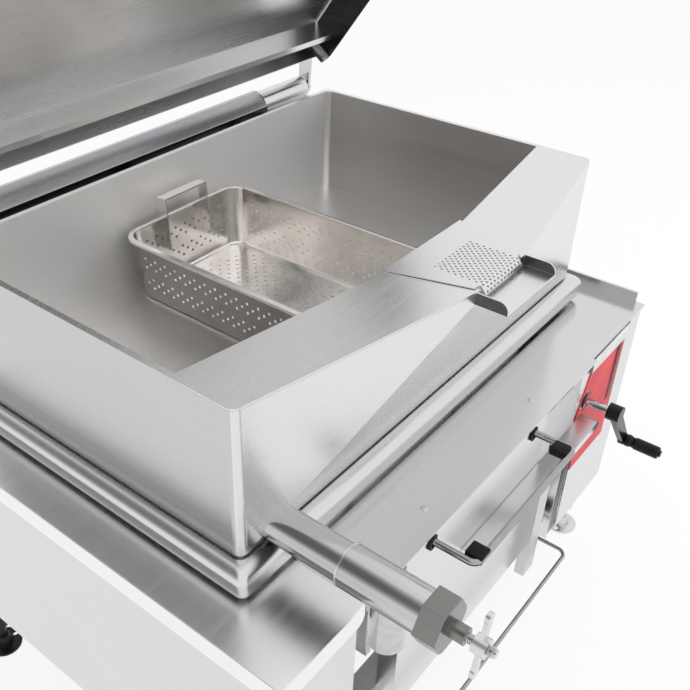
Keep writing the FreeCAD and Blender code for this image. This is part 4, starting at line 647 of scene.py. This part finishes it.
def build_strainer():
    """Perforated plate over the spout whose front rolls down into it."""
    top, t, bend = 942.3, 1.5, 13.0
    back_half, back_y, front_half, front, nose_half = 109.0, 57.0, 70.0, -74.0, 57.0
    arc = math.pi / 2 * bend
    right = [(back_half, -back_y), (front_half, -front), (nose_half + 2, -front + 0.5),
             (nose_half, -front + 3), (nose_half, -front + arc)]
    outline = [(-u, v) for u, v in right[1:]] + [(u, v) for u, v in right[::-1]] + [(-right[0][0], right[0][1])]

    def place(u, v):
        if v <= -front:
            return mm(u, -v, top)
        a = (v + front) / bend
        return mm(u, front - bend * math.sin(a), top - bend * (1 - math.cos(a)))

    centres = staggered([-4.0 + 5.85 * k for k in range(17)], -52.0, 52.1, 10.4)
    bm = bmesh.new()
    holed_faces(bm, outline, centres, 2.15, place, 8)
    bmesh.ops.recalc_face_normals(bm, faces=bm.faces)
    bmesh.ops.solidify(bm, geom=list(bm.faces), thickness=t / 1000.0)
    add_piece("strainer_plate_holed", smooth_mesh(bm, "strainer_plate_holed", 30), "strainer")


build_basket()
build_strainer()

for node_name, width in {"pan_shell": 0.0015, "left_cabinet": 0.0006, "basket_handle": 0.0005,
                         "pour_lip": 0.0006, "lid_shell": 0.0006, "bonnet_nut": 0.0006}.items():
    softened(node_name, width)


def recolour(name, look, wanted):
    """Give the faces of a piece that wanted(normal, centre) picks one more material."""
    mesh = bpy.data.objects[name].data
    index = len(mesh.materials)
    mesh.materials.append(MATERIALS[look])
    for face in mesh.polygons:
        if wanted(face.normal, face.center):
            face.material_index = index


# Painted shade: the side faces of the spout's lip get the darker copy of the pan steel
recolour("pour_lip_soft", "cheek_painted_shade", lambda n, c: abs(n.x) > 0.9 and c.z > 0.9215 and c.y < mm(0, -82, 0).y)
# Painted shade: the lid's end faces get the dark copy of the steel
recolour("lid_shell_soft", "dark", lambda n, c: abs(n.x) > 0.9)


def prism(name, node_name, profile, x0, x1, bevel=0.0, look=None, replaces=True):
    """Closed (y, z) outline run from x0 to x1, with its edges rounded."""
    bm = bmesh.new()
    ends = [[bm.verts.new(mm(x, y, z)) for y, z in profile] for x in (x0, x1)]
    count = len(profile)
    for k in range(count):
        n = (k + 1) % count
        bm.faces.new([ends[0][k], ends[0][n], ends[1][n], ends[1][k]])
    bm.faces.new(ends[0])
    bm.faces.new(ends[1][::-1])
    bmesh.ops.recalc_face_normals(bm, faces=bm.faces)
    if bevel:
        sharp = [e for e in bm.edges if e.calc_face_angle(0) > math.radians(35)]
        bmesh.ops.bevel(bm, geom=sharp, offset=bevel / 1000.0, segments=2, profile=0.5, affect="EDGES",
                        clamp_overlap=True)
    return add_piece(name, smooth_mesh(bm, name, 35), node_name, look, replaces)


def folded(name, node_name, line, x0, x1, t):
    """Bent sheet: an open (y, z) line thickened by t to its right and run from x0 to x1."""
    inner = []
    for k in range(len(line)):
        before = Vector(line[k]) - Vector(line[max(k - 1, 0)])
        after = Vector(line[min(k + 1, len(line) - 1)]) - Vector(line[k])
        before = (before if before.length else after).normalized()
        after = (after if after.length else before).normalized()
        mid = (before + after).normalized()
        reach = t / max(0.5, mid.dot(before))
        inner.append((line[k][0] + mid.y * reach, line[k][1] - mid.x * reach))
    return prism(name, node_name, list(line) + inner[::-1], x0, x1)


# The ledge below the carrier's bar, one level sheet turned down at its front and back
folded("front_ledge_folded", "front_ledge",
       [(-182.0, 494.0), (-182.0, 506.6), (-180.6, 508.0), (-146.4, 508.0), (-145.0, 506.6), (-145.0, 494.0)],
       -135.0, 320.0, 2.0)

# Closed cover over the lid's torsion bar: flat front with a painted reflection of a dark gap, sloping top,
# rounded back
AXLE_Y, AXLE_Z = 685.0, 940.0
COVER_R = 30.0
cover = [(-COVER_R, -COVER_R), (-COVER_R, 4.0), (0.0, COVER_R)]
cover += [(COVER_R * math.sin(math.radians(a)), COVER_R * math.cos(math.radians(a))) for a in range(10, 91, 10)]
cover += [(18.0, -COVER_R)]
prism("torsion_cover", "torsion_tube", [(AXLE_Y + y, AXLE_Z + z) for y, z in cover], -440.0, 317.0, 1.2)
# Painted reflection: the cover's front faces get the dark copy of the steel
recolour("torsion_cover", "dark", lambda n, c: n.y < -0.9)


def swept_ring(name, node_name, half, front, back, r, profile):
    """Closed (out, z) profile carried round a rounded rectangle."""
    bm = bmesh.new()
    loops = []
    for out, z in profile:
        loop = rounded_loop(half + out, front - out, back + out, min(max(r + out, 1.0), 12.0), 10)
        loops.append([bm.verts.new(mm(x, y, z)) for x, y in loop])
    bridge(bm, loops)
    add_piece(name, smooth_mesh(bm, name, 38), node_name)


# Rolled bead round the pan's foot, in one sweep down to its lower edge
bead = [(-20.0, 640.0), (-20.0, 689.9), (-6.0, 689.9), (-6.0, 686.0), (2.0, 686.0)]
bead += [(2.0 + 23.0 * math.sin(math.radians(a)), 665.0 + 21.0 * math.cos(math.radians(a)))
         for a in range(10, 91, 8)]
bead += [(25.0, 656.0), (24.0, 648.0), (21.5, 642.0), (18.0, 639.0)]
swept_ring("pan_bead", "pan_skirt", 500.0, 0.0, 637.0, 14.0, bead)

FRONT_IN, REAR_IN = mm(0, 9.5, 0).y, mm(0, 627.5, 0).y


def in_pan(c):
    """Whether a face's centre lies inside the pan, below its rim."""
    return abs(c.x) < 0.4915 and FRONT_IN < c.y < REAR_IN and 0.705 < c.z < 0.9385


recolour("pan_shell_soft", "inside", lambda n, c: in_pan(c))
# Painted shade: the pan's inner right end wall gets the darker copy of the steel
recolour("pan_shell_soft", "inside_end_painted_shade", lambda n, c: in_pan(c) and n.x < -0.9)
# Painted light: the pan's inner rear wall gets the part-diffuse lit copy of the steel
recolour("pan_shell_soft", "inside_rear_lit_copy", lambda n, c: in_pan(c) and n.y < -0.9)
# Painted shade: the pan's outer left faces get the darker copy of the steel
recolour("pan_shell_soft", "pan_left_painted_shade", lambda n, c: not in_pan(c) and n.x < -0.9)
softened("feet", 0.0008)
softened("carrier_rods", 0.0002)
# Painted reflection: the rods' lower sides get the dark copy of the steel, standing in for the dark gap below
# them
recolour("carrier_rods_soft", "dark", lambda n, c: n.z < 0.1 and min(n.x, n.y) < -0.3)
# Painted shade: the basket's outward long sides get the darker copy of the steel
recolour("basket_shell", "basket_out_painted_shade", lambda n, c: n.x * c.x > 0 and abs(n.x) > 0.9)
# Only the foot at the front right is bare steel
recolour("feet_soft", "satin", lambda n, c: c.x > 0 and c.y < 0)


def block(name, node_name, low, high, bevel, look=None, replaces=False):
    """Small moulded block or bar with rounded edges, from corner to corner."""
    outline = [(low[1], low[2]), (high[1], low[2]), (high[1], high[2]), (low[1], high[2])]
    return prism(name, node_name, outline, low[0], high[0], bevel, look, replaces)


# Rubber bumpers clamped round the carrier's bar near its bends
block("bumper_left", "carrier_bumpers", (-237, -225, 609), (-209, -196, 624.2), 2.5, "rubber", True)
block("bumper_right", "carrier_bumpers", (52, -217, 609), (79, -188, 624.2), 2.5, "rubber", True)


def slot_ring(name, x):
    """Upright oval rubber grommet round one rod where it enters the front."""
    bm = bmesh.new()
    loops = []
    for inside, rise, y in ((0.0, 6.5, -145.2), (0.0, 6.5, -149.0), (3.6, 3.9, -149.6), (3.6, 3.9, -145.2)):
        loop = []
        half = 10.0 - inside
        for k in range(28):
            a = 2 * math.pi * k / 28
            z = 612.5 + (rise if math.sin(a) > 0 else -rise) + half * 0.75 * math.sin(a)
            loop.append(bm.verts.new(mm(x + half * math.cos(a), y, min(z, 626.6))))
        loops.append(loop)
    bridge(bm, loops)
    add_piece(name, smooth_mesh(bm, name, 40), "rod_grommets")


slot_ring("grommet_left", -243.0)
slot_ring("grommet_right", 81.0)

# Deck sheet over the front, set back over the console where the bare plate covers its edge
bm = bmesh.new()
edge = [(-411.7, -148), (333, -148), (333, -139.6), (588, -139.6), (588, -5), (-411.7, -5)]
low, high = ([bm.verts.new(mm(x, y, z)) for x, y in edge] for z in (627, 630))
for k in range(len(edge)):
    n = (k + 1) % len(edge)
    bm.faces.new([low[k], low[n], high[n], high[k]])
bm.faces.new(low[::-1])
bm.faces.new(high)
add_piece("apron_fitted", smooth_mesh(bm, "apron_fitted", 30), "apron")

# Bare plate with its black outline, the red face's two dark lines and its darker edge strip
block("bare_plate", "name_plate", (337, -141.0, 590), (508, -139.7, 629.4), 0.3, "plate", True)
block("plate_line_left", "name_plate", (336.4, -141.8, 589.6), (341, -140.8, 629.8), 0.2, "gloss")
block("plate_line_top", "name_plate", (336.4, -141.8, 625.4), (508.6, -140.8, 629.8), 0.2, "gloss")
block("red_line_left", "red_panel", (471.2, -140.3, 450), (473.6, -139.4, 590), 0.2, "gloss")
block("red_line_right", "red_panel", (477.6, -140.3, 450), (480, -139.4, 590), 0.2, "gloss")
block("red_edge_strip", "red_panel", (481, -140.2, 450), (499, -139.4, 590), 0.3, "red_dark")
# Painted shade: a gloss black block stands in for the shaded recess where the crank shaft enters the red face
block("shaft_recess_painted_shade", "red_panel", (331, -140.6, 507), (361, -139.4, 537), 0.5, "gloss")
# Painted shade: a thin gloss black strip down the console's side stands in for shade there
block("console_side_painted_shade", "console_shell", (298.9, -117, 182), (299.8, -104, 420), 0.2, "gloss")
# Painted shade: a gloss black sheet behind the console's slot stands in for the shade inside it
block("slot_painted_shade", "console_shell", (303, -135.5, 176), (343, -134, 383), 0.4, "gloss")


# Axis of the draw-off pipe and its valve
VALVE_X, VALVE_Z = -438.0, 720.0


def on_valve(radius, a, y):
    """Point at a radius and angle round the valve's axis."""
    return mm(VALVE_X + radius * math.cos(a), y, VALVE_Z + radius * math.sin(a))


def thread(name, node_name, y0, y1, r, pitch, depth, look):
    """Screw thread on the valve's axis, as one raised helical ridge."""
    bm = bmesh.new()
    per_turn = 16
    steps = int((y0 - y1) / pitch * per_turn)
    rows = []
    for k in range(steps + 1):
        a = 2 * math.pi * k / per_turn
        y = y0 - pitch * k / per_turn
        ring = []
        for radius, shift in ((r - 0.2, 0.42), (r + depth, 0.0), (r - 0.2, -0.42)):
            ring.append(bm.verts.new(on_valve(radius, a, y + shift * pitch)))
        rows.append(ring)
    for low, high in zip(rows, rows[1:]):
        bm.faces.new([low[0], low[1], high[1], high[0]])
        bm.faces.new([low[1], low[2], high[2], high[1]])
    bm.faces.new(rows[0])
    bm.faces.new(rows[-1][::-1])
    add_piece(name, smooth_mesh(bm, name, 30), node_name, look, False)


thread("stem_thread", "valve_stem", -308.5, -317.5, 6.0, 2.2, 1.1, "chrome")
thread("stem_tip_thread", "valve_stem", -333.5, -343.0, 6.0, 2.2, 1.1, "chrome")


def hoop(name, node_name, y, r, half, out, look):
    """Thin raised ring round a tube on the valve's axis."""
    bm = bmesh.new()
    loops = []
    for along, radius in ((-half, r - 0.6), (-half * 0.6, r + out), (half * 0.6, r + out), (half, r - 0.6)):
        loops.append([bm.verts.new(on_valve(radius, 2 * math.pi * k / 48, y + along)) for k in range(48)])
    bridge(bm, loops)
    add_piece(name, smooth_mesh(bm, name, 50), node_name, look, False)


hoop("sleeve_ring", "valve_body", -131.6, 31.0, 1.6, 0.9, "satin")
hoop("weld_ring", "valve_tube", -1.6, 28.0, 1.6, 1.5, "satin")
